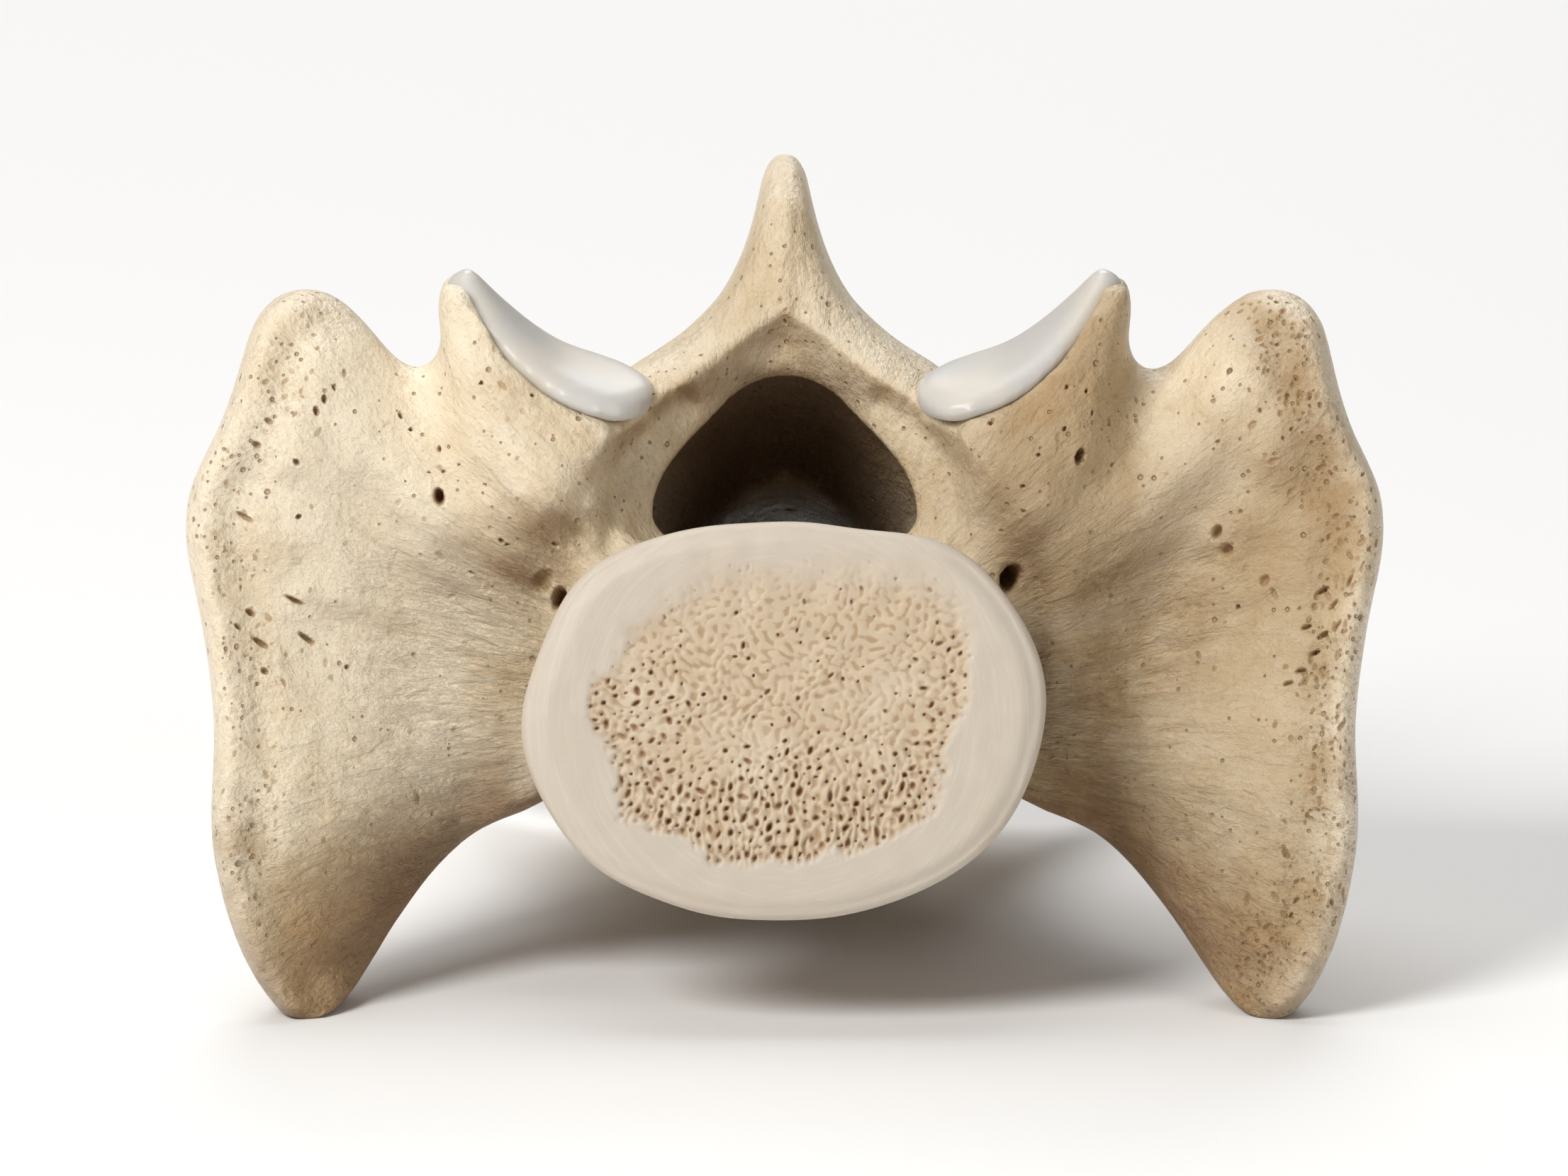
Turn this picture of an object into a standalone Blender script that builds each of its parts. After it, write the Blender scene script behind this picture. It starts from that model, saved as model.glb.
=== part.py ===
"""Sacrum of a large dog, life size, resting on its two wing tips and its tail end.

The bone is modelled in its own frame, in millimetres: X to the animal's left, Y towards the tail
from the cranial endplate, Z towards the back. Simple forms are lofted along Y, like a stack of
slices, fused by a voxel remesh, hollowed by cutters and parted by thin saw cuts into the regions
that an anatomist names. An empty then sets the bone down on the floor and scales it to metres.
"""

import math

import bmesh
import bpy
import numpy as np
from mathutils import Matrix, Vector

MM = 0.001

# Driving sizes, in millimetres
LENGTH = 47.0
WING_REACH = 30.0
ENDPLATE_HALF_WIDTH = 13.2
ENDPLATE_HALF_HEIGHT = 9.9
ENDPLATE_THICKNESS = 1.8
ENDPLATE_SHOULDER = 0.05
ENDPLATE_RING_POINTS = 60
GAP = 0.3
VOXEL = 0.42
FILLET = 0.8
FLOOR_CUT = 0.35
RING_POINTS = 72
TRIANGLES_BEFORE_SAWING = 8800

# Canal floor: a straight line falling towards the tail
FLOOR_AT_FRONT = 9.2
FLOOR_FALL = 0.15

# Fused bodies: y, half width, half height, centre z
BODY = (
    (2.1, 12.5, 9.2, 0.0),
    (5.0, 11.5, 8.5, 0.2),
    (11.0, 10.6, 7.9, 0.5),
    (18.0, 9.7, 7.0, 0.2),
    (25.0, 7.7, 5.6, 0.1),
    (32.0, 7.5, 5.2, -0.5),
    (39.0, 6.1, 4.2, -1.0),
    (45.3, 6.9, 4.4, -1.5),
    (LENGTH, 6.4, 3.9, -1.5),
)

# Flat side parts that tie the bodies to the lateral crest: y, half width, half height, centre z
SIDE_PART = (
    (12.0, 14.0, 4.5, 5.5),
    (20.0, 14.5, 3.6, 5.4),
    (27.0, 12.8, 2.6, 3.8),
    (33.0, 10.8, 1.9, 2.0),
    (38.0, 11.2, 1.5, 0.4),
    (42.5, 13.2, 1.2, -0.6),
    (44.5, 12.0, 0.8, -1.0),
)

# Vertebral canal: y, half width at its floor, roof height above the floor
CANAL = (
    (-2.0, 8.0, 9.0),
    (4.0, 8.0, 9.0),
    (7.5, 7.9, 9.1),
    (10.0, 7.9, 9.3),
    (13.0, 8.1, 9.4),
    (18.0, 6.9, 8.2),
    (25.0, 5.3, 6.1),
    (32.0, 4.5, 5.2),
    (39.0, 3.9, 4.5),
    (LENGTH + 2.0, 3.5, 4.0),
)

# Bevel round the canal's mouth, right half seen from the front: x, z on its outer edge, where the
# laminae meet in a gable, and x, z where it runs into the canal
MOUTH = (
    (0.0, 8.9, 0.0, 8.3),
    (5.2, 8.9, 4.6, 8.3),
    (8.6, 9.2, 7.0, 8.7),
    (9.5, 10.7, 7.8, 10.0),
    (9.5, 12.4, 7.6, 11.7),
    (8.7, 14.1, 7.0, 13.0),
    (7.3, 15.4, 6.1, 14.2),
    (5.9, 16.3, 5.0, 15.1),
    (4.6, 17.1, 3.9, 15.9),
    (3.1, 18.3, 2.6, 16.6),
    (1.5, 20.1, 1.3, 17.0),
    (0.0, 21.3, 0.0, 17.2),
)
# Along the bevel: y before the recess is added, share of the inner outline
MOUTH_DEPTHS = ((-12.0, 0.0), (4.2, 0.0), (5.2, 0.36), (6.6, 1.0), (9.0, 1.0))

# Roof with the median crest: y, crest tip z, shoulder z, shoulder half width, blade half width,
# and how fast the flanks narrow above the shoulder
ROOF = (
    (4.8, 20.9, 15.4, 7.8, -3.6, 4.3),
    (5.6, 22.0, 15.9, 7.8, -1.4, 4.0),
    (6.8, 24.4, 16.5, 7.9, 0.4, 3.5),
    (8.6, 26.4, 17.0, 8.1, 0.6, 3.4),
    (12.0, 27.6, 17.5, 8.2, 0.6, 3.5),
    (16.5, 28.7, 17.6, 8.0, 0.6, 3.5),
    (19.5, 27.6, 16.6, 7.7, 0.6, 3.4),
    (22.5, 23.2, 15.0, 7.2, 0.5, 3.2),
    (25.0, 21.6, 13.8, 6.8, 0.5, 3.0),
    (29.0, 22.4, 12.6, 6.5, 0.6, 3.0),
    (32.0, 20.0, 11.3, 6.1, 0.5, 2.9),
    (35.0, 15.4, 10.1, 5.7, 0.5, 2.6),
    (39.5, 15.6, 9.2, 5.4, 0.6, 2.5),
    (43.0, 12.4, 8.2, 5.0, 0.5, 2.3),
    (45.0, 8.8, 7.2, 4.5, 0.5, 2.2),
)
FRONT_RECESS = 4.2
RECESS_WIDTH = 5.6
RECESS_FADE = 15.0
TIP_RADIUS = 0.9

# Rim of a wing, seen from the front, with its depth: x, z, y
WING_RIM = (
    (17.5, 15.7, 6.6),
    (19.5, 17.9, 6.8),
    (21.9, 20.6, 6.5),
    (24.3, 21.8, 6.0),
    (26.6, 20.5, 4.8),
    (27.5, 17.2, 3.6),
    (28.3, 14.6, 2.9),
    (29.7, 11.8, 2.3),
    (WING_REACH, 9.0, 2.1),
    (29.1, 4.6, 1.9),
    (28.5, -0.5, 1.7),
    (28.7, -5.8, 1.7),
    (27.6, -10.8, 2.0),
    (25.8, -14.2, 2.6),
    (24.0, -15.5, 3.3),
    (22.0, -14.0, 4.0),
    (19.8, -10.5, 5.0),
    (17.6, -7.5, 5.9),
    (15.3, -5.4, 6.6),
    (12.6, -4.4, 7.0),
    (9.0, -1.0, 6.4),
    (8.6, 6.0, 5.4),
    (10.5, 13.0, 5.2),
    (14.4, 15.2, 6.0),
)
WING_HOLLOW_CENTRE = (16.6, -0.6)
WING_HOLLOW_DEPTH = 8.0
WING_HOLLOW_RINGS = (0.12, 0.26, 0.4, 0.52, 0.64, 0.75, 0.84, 0.92)
# Swelling of the sacral tuberosity in front of the dorsal rim
TUBEROSITY = 2.2
# How the front turns round into the rim: share of the way out, distance back
WING_EDGE = ((0.962, 0.05), (0.988, 0.4), (1.0, 1.1))
# Behind the rim: distance, width scale, scale above and below the tail point
WING_BACK = (
    (2.0, 1.0, 1.0, 1.0),
    (3.4, 1.0, 0.995, 0.985),
    (6.5, 0.97, 0.94, 0.87),
    (10.5, 0.88, 0.79, 0.68),
    (14.5, 0.75, 0.64, 0.48),
    (18.5, 0.6, 0.5, 0.34),
    (22.0, 0.43, 0.34, 0.22),
    (25.5, 0.27, 0.16, 0.1),
)
WING_TAIL_POINT = (6.0, 5.0)
# The left wing's dorsal bump stands a little further out than the right's
BUMP_LEAN = {1: 0.1, -1: -0.3}
TIP_LEAN = {1: 0.25, -1: -0.1}

# Cranial articular process, seen from the front: x, z at its front face and x, z at its foot
PROCESS_OUTLINE = (
    (6.6, 14.6, 6.6, 14.6),
    (8.4, 15.2, 8.4, 15.4),
    (10.6, 15.9, 10.6, 16.4),
    (12.6, 17.3, 12.6, 18.0),
    (14.4, 19.3, 14.4, 20.0),
    (15.9, 21.9, 15.9, 22.2),
    (16.9, 22.7, 16.9, 22.7),
    (17.5, 21.3, 17.5, 21.3),
    (17.1, 19.2, 17.1, 19.0),
    (16.4, 16.8, 17.2, 15.8),
    (15.2, 13.4, 18.6, 11.0),
    (13.4, 11.0, 16.5, 6.0),
    (11.6, 10.0, 12.5, 5.0),
    (10.4, 11.4, 10.4, 8.2),
    (9.0, 13.0, 9.0, 11.8),
)
PROCESS_CENTRE = (12.6, 15.0)
# Along the process: y, scale, lift of the whole slice, share of the foot's outline
PROCESS_SLICES = (
    (2.6, 0.72, -0.3, 0.0),
    (3.0, 0.86, -0.2, 0.05),
    (3.8, 0.96, -0.1, 0.15),
    (5.0, 1.0, 0.0, 0.4),
    (7.0, 1.0, 0.15, 0.75),
    (9.5, 0.97, 0.2, 1.0),
    (12.5, 0.86, -0.3, 1.0),
    (15.5, 0.7, -1.4, 1.0),
    (18.5, 0.52, -2.6, 1.0),
    (21.0, 0.34, -3.6, 1.0),
)

# Cartilage facet: its middle line from the tip inwards, x, z and half length along Y
FACET_LINE = (
    (16.35, 22.1, 0.6),
    (15.8, 21.4, 1.4),
    (14.9, 20.3, 2.3),
    (13.2, 18.7, 3.0),
    (11.5, 17.5, 3.5),
    (9.7, 16.8, 3.8),
    (8.3, 16.4, 3.5),
    (7.4, 16.25, 2.3),
    (6.9, 16.2, 0.9),
)
FACET_DEPTH_CENTRE = 6.4
FACET_PITCH = math.radians(18.0)
FACET_HALF_THICKNESS = 0.55
# The seat runs out past the facet's tip, so that no fin of bone is left there
SEAT_RUN_OUT = ((16.9, 22.9, 0.9),)

# Ridge of the lateral crest and the last transverse process: x, y, z, half width, half height
LATERAL_CREST = (
    (15.5, 16.0, 6.5, 3.4, 3.4),
    (14.6, 21.5, 5.6, 2.8, 2.7),
    (12.9, 27.0, 4.4, 2.2, 2.2),
    (11.5, 32.0, 2.6, 1.7, 1.7),
    (12.0, 37.0, 1.0, 1.6, 1.4),
    (14.0, 41.5, -0.2, 1.7, 1.3),
    (15.7, 44.8, -0.9, 1.4, 1.1),
    (16.3, 46.3, -1.2, 0.9, 0.8),
)

# Knobs: x, y, z and half sizes, one pair each
KNOBS = (
    (6.7, 22.0, 14.4, 2.2, 3.6, 1.7),
    (5.6, 33.6, 10.2, 1.8, 3.2, 1.5),
    (4.6, 43.6, 6.6, 1.5, 2.6, 1.4),
)

# Sacral foramina: x, y, radius on the belly side, radius on the back
FORAMINA = (
    (9.3, 21.2, 2.2, 1.5),
    (7.7, 34.4, 1.7, 1.1),
)

BONE_COLOUR = (0.76, 0.66, 0.48, 1.0)
ENDPLATE_COLOUR = (0.80, 0.73, 0.66, 1.0)
CARTILAGE_COLOUR = (0.82, 0.83, 0.84, 1.0)

# Saw cuts between the named regions
WING_CUT_X = 13.5
WING_CUT_KNEE = (WING_CUT_X, 12.6)
WING_CUT_NOTCH = (17.5, 17.4)
WING_END_Y = 24.0
CREST_CUT_X = 9.8
PEDICLE_LIFT = 0.9
BODY_CUTS_Y = (18.0, 32.0)
ARCH_CUTS_Y = (21.4, 34.0)
PROCESS_CUT = ((4.6, 13.2), (8.8, 20.8))
PROCESS_END_Y = 15.2
SPINE_CUT_REACH = 7.5
FAR = 60.0
# Under each spinous process: y from, y to, z at y from, z at y to
SPINE_CUTS = (
    (3.0, ARCH_CUTS_Y[0], 21.0, 21.0),
    (*ARCH_CUTS_Y, 17.6, 14.0),
    (ARCH_CUTS_Y[1], LENGTH + 1.0, 12.2, 10.0),
)


def clear_scene():
    for obj in list(bpy.data.objects):
        bpy.data.objects.remove(obj)


def spline(keys, count, closed):
    """Evenly spread points on the smooth curve through the keys, a row for each point."""
    keys = np.array(keys, float)
    spans = len(keys) if closed else len(keys) - 1
    points = []
    for place in np.linspace(0.0, spans, count, endpoint=not closed):
        span = min(int(place), spans - 1)
        t = place - span
        index = [span - 1, span, span + 1, span + 2]
        index = [i % len(keys) if closed else min(max(i, 0), len(keys) - 1) for i in index]
        a, b, c, d = keys[index]
        points.append(
            0.5
            * (
                2 * b
                + (c - a) * t
                + (2 * a - 5 * b + 4 * c - d) * t**2
                + (3 * b - a - 3 * c + d) * t**3
            )
        )
    return np.array(points)


def loft(name, rings):
    """A closed skin over rings of points, bridged ring by ring, with both ends filled."""
    mesh = bmesh.new()
    loops = []
    for ring in rings:
        verts = [mesh.verts.new(point) for point in ring]
        pairs = zip(verts, verts[1:] + verts[:1])
        loops.append([mesh.edges.new(pair) for pair in pairs])
    for near, far in zip(loops, loops[1:]):
        bmesh.ops.bridge_loops(mesh, edges=near + far)
    for end in (loops[0], loops[-1]):
        bmesh.ops.holes_fill(mesh, edges=end)
    bmesh.ops.recalc_face_normals(mesh, faces=mesh.faces)
    return new_object(name, mesh)


def new_object(name, mesh):
    data = bpy.data.meshes.new(name)
    mesh.to_mesh(data)
    mesh.free()
    obj = bpy.data.objects.new(name, data)
    bpy.context.scene.collection.objects.link(obj)
    return obj


def ellipse_ring(x, y, z, half_width, half_height, count=RING_POINTS, power=2.0):
    """An upright ring across the bone at depth y; a power over 2 squares it off."""
    angles = np.linspace(0.0, 2 * math.pi, count, endpoint=False)
    cos, sin = np.cos(angles), np.sin(angles)
    return np.column_stack(
        (
            x + half_width * np.sign(cos) * np.abs(cos) ** (2 / power),
            np.full(count, y),
            z + half_height * np.sign(sin) * np.abs(sin) ** (2 / power),
        )
    )


def floor_height(y):
    return FLOOR_AT_FRONT - FLOOR_FALL * y


def make_body():
    rows = spline(BODY, 30, closed=False)
    return loft("body", [ellipse_ring(0.0, y, z, w, h, power=2.2) for y, w, h, z in rows])


def make_side_part():
    rows = spline(SIDE_PART, 24, closed=False)
    return loft("side_part", [ellipse_ring(0.0, y, z, w, h, power=2.6) for y, w, h, z in rows])


def roof_ring(y, tip, shoulder, half_width, blade, fall):
    """One slice of the roof: a thin blade that flares like a tower's foot into the laminae."""
    base = floor_height(y) - 1.0
    climb = np.linspace(0.0, 1.0, 20)
    heights = np.concatenate(
        (
            np.linspace(base, shoulder, 10, endpoint=False),
            shoulder + (tip - shoulder) * (1.0 - (1.0 - climb) ** 1.3),
        )
    )
    flare = np.exp(-(heights - shoulder) / fall)
    widths = blade + (half_width - blade) * np.minimum(flare, 1.0)
    below = np.clip((shoulder - heights) / (shoulder - base), 0.0, 1.0)
    spread = 1.0 + 2.2 * max(0.0, 1.0 - y / 30.0)
    widths += spread * np.sqrt(below)
    rounding = np.clip((tip - heights) / TIP_RADIUS, 0.0, 1.0)
    widths = np.maximum(widths, 0.3) * np.sqrt(1.0 - (1.0 - rounding) ** 2)
    right = np.column_stack((widths, np.full(len(widths), y), heights))
    left = right[-2::-1] * (-1, 1, 1)
    ring = np.concatenate((right, left))
    ring[:, 1] += recess(ring[:, 0]) * max(0.0, 1.0 - (y - ROOF[0][0]) / RECESS_FADE)
    return ring


def recess(x):
    """How far the front edge of the laminae draws back towards the midline."""
    return FRONT_RECESS * np.exp(-((x / RECESS_WIDTH) ** 2))


def make_roof():
    return loft("roof", [roof_ring(*row) for row in spline(ROOF, 44, closed=False)])


def canal_ring(y, half_width, rise):
    """A slice of the canal: flat floor, rounded corners and a blunt gable roof."""
    floor = floor_height(y)
    outline = (
        (0.0, 0.0),
        (0.55, 0.0),
        (0.86, 0.04),
        (1.0, 0.18),
        (0.96, 0.35),
        (0.84, 0.51),
        (0.62, 0.71),
        (0.35, 0.885),
        (0.15, 0.97),
        (0.0, 1.0),
    )
    half = list(outline)
    loop = half + [(-x, z) for x, z in half[-2:0:-1]]
    shape = spline(loop, 48, closed=True)
    return np.column_stack(
        (shape[:, 0] * half_width, np.full(len(shape), y), floor + shape[:, 1] * rise)
    )


def make_canal():
    return loft("canal", [canal_ring(*row) for row in spline(CANAL, 30, closed=False)])


def make_mouth():
    half = np.array(MOUTH)
    loop = np.concatenate((half, half[-2:0:-1] * (-1, 1, -1, 1)))
    shape = spline(loop, 64, closed=True)
    rings = []
    for y, inner in MOUTH_DEPTHS:
        outline = shape[:, :2] * (1.0 - inner) + shape[:, 2:] * inner
        rings.append(np.column_stack((outline[:, 0], y + recess(outline[:, 0]), outline[:, 1])))
    return loft("mouth", rings)


def wing_rim(side):
    """The wing's rim as a smooth closed curve, leaning a little differently on each side."""
    rim = spline(WING_RIM, 96, closed=True)
    x, z, y = rim.T
    bump = np.clip((z - 14.0) / 7.0, 0.0, 1.0) * np.clip((x - 18.0) / 5.0, 0.0, 1.0)
    tip = np.clip((-8.0 - z) / 7.0, 0.0, 1.0)
    x = x + BUMP_LEAN[side] * bump + TIP_LEAN[side] * tip
    return np.column_stack((x, y, z))


def make_wing(side):
    rim = wing_rim(side)
    centre = np.array((WING_HOLLOW_CENTRE[0], WING_HOLLOW_DEPTH, WING_HOLLOW_CENTRE[1]))
    rings = []
    swell = np.clip((rim[:, 2] - 8.0) / 9.0, 0.0, 1.0) * np.clip((rim[:, 0] - 14.0) / 4.0, 0.0, 1.0)
    for share in WING_HOLLOW_RINGS:
        ring = centre + (rim - centre) * share
        rise = share**2 * (3.0 - 2.0 * share)
        ring[:, 1] = centre[1] + (rim[:, 1] - centre[1]) * rise
        ring[:, 1] -= TUBEROSITY * swell * math.sin(math.pi * share**2)
        rings.append(ring)
    for share, back in WING_EDGE:
        ring = centre + (rim - centre) * share
        ring[:, 1] = rim[:, 1] + back
        ring[:, 1] -= TUBEROSITY * swell * math.sin(math.pi * share**2)
        rings.append(ring)
    tail_x, tail_z = WING_TAIL_POINT
    for back, wide, up, down in spline(WING_BACK, 22, closed=False):
        ring = rim.copy()
        ring[:, 0] = tail_x + (rim[:, 0] - tail_x) * wide
        high = rim[:, 2] - tail_z
        ring[:, 2] = tail_z + np.where(high > 0, high * up, high * down)
        ring[:, 1] = rim[:, 1] + back
        rings.append(ring)
    wing = loft(f"wing_{side}", [ring * (side, 1, 1) for ring in rings])
    return wing


def make_process(side):
    outline = spline(PROCESS_OUTLINE, 60, closed=True)
    centre = np.array(PROCESS_CENTRE)
    rings = []
    for y, scale, lift, foot in spline(PROCESS_SLICES, 16, closed=False):
        shape = outline[:, :2] * (1.0 - foot) + outline[:, 2:] * foot
        slice_xz = centre + (shape - centre) * scale
        depth = np.full(len(outline), y)
        rings.append(np.column_stack((side * slice_xz[:, 0], depth, slice_xz[:, 1] + lift)))
    return loft(f"process_{side}", rings)


def make_lateral_crest(side):
    rows = spline(LATERAL_CREST, 26, closed=False)
    rings = [ellipse_ring(side * x, y, z, w, h, count=32) for x, y, z, w, h in rows]
    return loft(f"lateral_crest_{side}", rings)


def make_knob(side, x, y, z, half_x, half_y, half_z):
    mesh = bmesh.new()
    bmesh.ops.create_icosphere(mesh, subdivisions=3, radius=1.0)
    bmesh.ops.scale(mesh, vec=(half_x, half_y, half_z), verts=mesh.verts)
    bmesh.ops.translate(mesh, vec=(side * x, y, z), verts=mesh.verts)
    return new_object("knob", mesh)


def facet_loft(name, keys, side, low, high, margin):
    """A thin bent tongue along a middle line, from low to high across its thickness."""
    line = spline(keys, 20, closed=False)
    along = Vector((0.0, math.cos(FACET_PITCH), math.sin(FACET_PITCH)))
    steps = np.gradient(line[:, :2], axis=0)
    rings = []
    for (x, z, half_length), (dx, dz) in zip(line, steps):
        middle = Vector((x, FACET_DEPTH_CENTRE, z))
        out = Vector((dx, 0.0, dz)).cross(along).normalized()
        if out.z < 0:
            out.negate()
        ring = []
        for angle in np.linspace(0.0, 2 * math.pi, 16, endpoint=False):
            reach = math.cos(angle)
            reach = math.copysign(abs(reach) ** 0.8, reach) * (half_length + margin)
            lift = math.sin(angle)
            height = (high if lift > 0 else low) * lift
            point = middle + along * reach + out * height
            ring.append((side * point.x, point.y, point.z))
        rings.append(ring)
    return loft(name, rings)


def make_seat(side):
    """The facet's bed in the bone, open above it and a gap wider all round."""
    keys = SEAT_RUN_OUT + FACET_LINE
    return facet_loft("seat", keys, side, FACET_HALF_THICKNESS + GAP, 5.0, GAP)


def endplate_points(scale, y):
    """A ring of the endplate's outline: an ellipse with a somewhat flatter top."""
    width, height = ENDPLATE_HALF_WIDTH * scale, ENDPLATE_HALF_HEIGHT * scale
    ring = ellipse_ring(0.0, y, 0.0, width, height, ENDPLATE_RING_POINTS, 2.1)
    high = np.clip(ring[:, 2] / height, 0.0, 1.0)
    ring[:, 0] *= 1.0 + ENDPLATE_SHOULDER * high * (1.0 - high) * 4.0 * high
    return ring


def make_endplate():
    """The fused growth plate in front: a round-edged disc with a slightly sunken middle."""
    profile = (
        (0.30, 0.62),
        (0.62, 0.60),
        (0.72, 0.34),
        (0.80, 0.12),
        (0.90, 0.02),
        (0.965, 0.14),
        (1.0, 0.55),
        (1.0, 1.05),
        (0.975, 1.55),
        (0.94, ENDPLATE_THICKNESS),
        (0.40, ENDPLATE_THICKNESS),
    )
    disc = loft("endplate_cranial", [endplate_points(scale, y) for scale, y in profile])
    return disc


def make_foramen(side, x, y, belly_radius, back_radius):
    mesh = bmesh.new()
    bmesh.ops.create_cone(
        mesh,
        cap_ends=True,
        segments=28,
        radius1=belly_radius,
        radius2=back_radius,
        depth=30.0,
    )
    bmesh.ops.translate(mesh, vec=(side * x, y, 5.0), verts=mesh.verts)
    return new_object("foramen", mesh)


def join(objects, name):
    """One object from several; the pieces may overlap until a remesh fuses them."""
    mesh = bmesh.new()
    for obj in objects:
        mesh.from_mesh(obj.data)
        bpy.data.objects.remove(obj)
    return new_object(name, mesh)


def apply_modifiers(obj):
    graph = bpy.context.evaluated_depsgraph_get()
    data = bpy.data.meshes.new_from_object(obj.evaluated_get(graph))
    obj.modifiers.clear()
    obj.data = data


def remesh(obj):
    modifier = obj.modifiers.new("fuse", "REMESH")
    modifier.mode = "VOXEL"
    modifier.voxel_size = VOXEL
    apply_modifiers(obj)


def push_out(obj, distance):
    modifier = obj.modifiers.new("push", "DISPLACE")
    modifier.mid_level = 0.0
    modifier.strength = distance
    apply_modifiers(obj)


def smooth(obj, rounds):
    modifier = obj.modifiers.new("smooth", "SMOOTH")
    modifier.factor = 0.5
    modifier.iterations = rounds
    apply_modifiers(obj)


def fillet(obj):
    """Swelling and shrinking the fused skin rounds every inner corner."""
    push_out(obj, FILLET)
    remesh(obj)
    push_out(obj, -FILLET)
    remesh(obj)
    smooth(obj, 3)


def boolean(obj, cutters, operation, solver="MANIFOLD"):
    """All cutters work at once, as one collection, which is then removed."""
    group = bpy.data.collections.new("cutters")
    for cutter in cutters:
        group.objects.link(cutter)
    modifier = obj.modifiers.new(operation.lower(), "BOOLEAN")
    modifier.operation = operation
    modifier.operand_type = "COLLECTION"
    modifier.collection = group
    modifier.solver = solver
    apply_modifiers(obj)
    for cutter in cutters:
        bpy.data.objects.remove(cutter)
    bpy.data.collections.remove(group)


def decimate(obj, triangles):
    obj.data.calc_loop_triangles()
    modifier = obj.modifiers.new("thin_out", "DECIMATE")
    modifier.ratio = triangles / len(obj.data.loop_triangles)
    apply_modifiers(obj)


def rest_matrix():
    """Tips the bone back until its wing tips and its tail end share one level."""
    tip_y, tip_z = 5.0, min(z for x, z, y in WING_RIM)
    tail_y, tail_z = BODY[-2][0], BODY[-2][3] - BODY[-2][2]
    tilt = math.atan2(tail_z - tip_z, tail_y - tip_y)
    return Matrix.Rotation(-tilt, 4, "X")


def lowest_point(obj, turn):
    return min((turn @ vert.co).z for vert in obj.data.vertices)


def floor_block(turn, lowest):
    """Everything below the floor, so that the bone stands on three small flats."""
    mesh = bmesh.new()
    bmesh.ops.create_cube(mesh, size=200.0)
    bmesh.ops.translate(mesh, vec=(0.0, 0.0, lowest + FLOOR_CUT - 100.0), verts=mesh.verts)
    bmesh.ops.transform(mesh, matrix=turn.inverted(), verts=mesh.verts)
    return new_object("floor_block", mesh)


def slab(points, axis, low, high):
    """A saw blade of the gap's thickness: a polyline across the axis, drawn out along it."""
    points = [Vector(point) for point in points]
    offsets = []
    for i, point in enumerate(points):
        before = (point - points[i - 1]).normalized() if i else None
        after = (points[i + 1] - point).normalized() if i + 1 < len(points) else None
        way = ((before or after) + (after or before)).normalized()
        bend = way.dot(before or after)
        offsets.append(Vector((-way.y, way.x)) * GAP / 2 / bend)
    outline = [p + o for p, o in zip(points, offsets)]
    outline += [p - o for p, o in reversed(list(zip(points, offsets)))]
    mesh = bmesh.new()
    if axis == "Y":
        verts = [mesh.verts.new((p.x, low, p.y)) for p in outline]
    else:
        verts = [mesh.verts.new((low, p.x, p.y)) for p in outline]
    face = mesh.faces.new(verts)
    drawn = bmesh.ops.extrude_face_region(mesh, geom=[face])
    moved = [v for v in drawn["geom"] if isinstance(v, bmesh.types.BMVert)]
    away = Vector((0.0, high - low, 0.0)) if axis == "Y" else Vector((high - low, 0.0, 0.0))
    bmesh.ops.translate(mesh, vec=away, verts=moved)
    bmesh.ops.recalc_face_normals(mesh, faces=mesh.faces)
    return new_object("saw", mesh)


def plate(outline, y):
    """A saw blade across the bone: a flat outline in X and Z with the gap's thickness along Y."""
    mesh = bmesh.new()
    verts = [mesh.verts.new((x, y - GAP / 2, z)) for x, z in outline]
    face = mesh.faces.new(verts)
    drawn = bmesh.ops.extrude_face_region(mesh, geom=[face])
    moved = [v for v in drawn["geom"] if isinstance(v, bmesh.types.BMVert)]
    bmesh.ops.translate(mesh, vec=(0.0, GAP, 0.0), verts=moved)
    bmesh.ops.recalc_face_normals(mesh, faces=mesh.faces)
    return new_object("saw", mesh)


def pedicle_height(y):
    return floor_height(y) + PEDICLE_LIFT


def arch_outline(y, reach, low_x):
    """The arch's share of a slice, between the pedicles and the cuts along the wings."""
    low = pedicle_height(y)
    if reach < WING_CUT_X:
        return ((low_x, low), (reach, low), (reach, FAR), (low_x, FAR))
    knee, notch = WING_CUT_KNEE, WING_CUT_NOTCH
    return ((low_x, low), (knee[0], low), knee, notch, (notch[0], FAR), (low_x, FAR))


def mirrored(outline):
    return [(-x, z) for x, z in outline]


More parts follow.
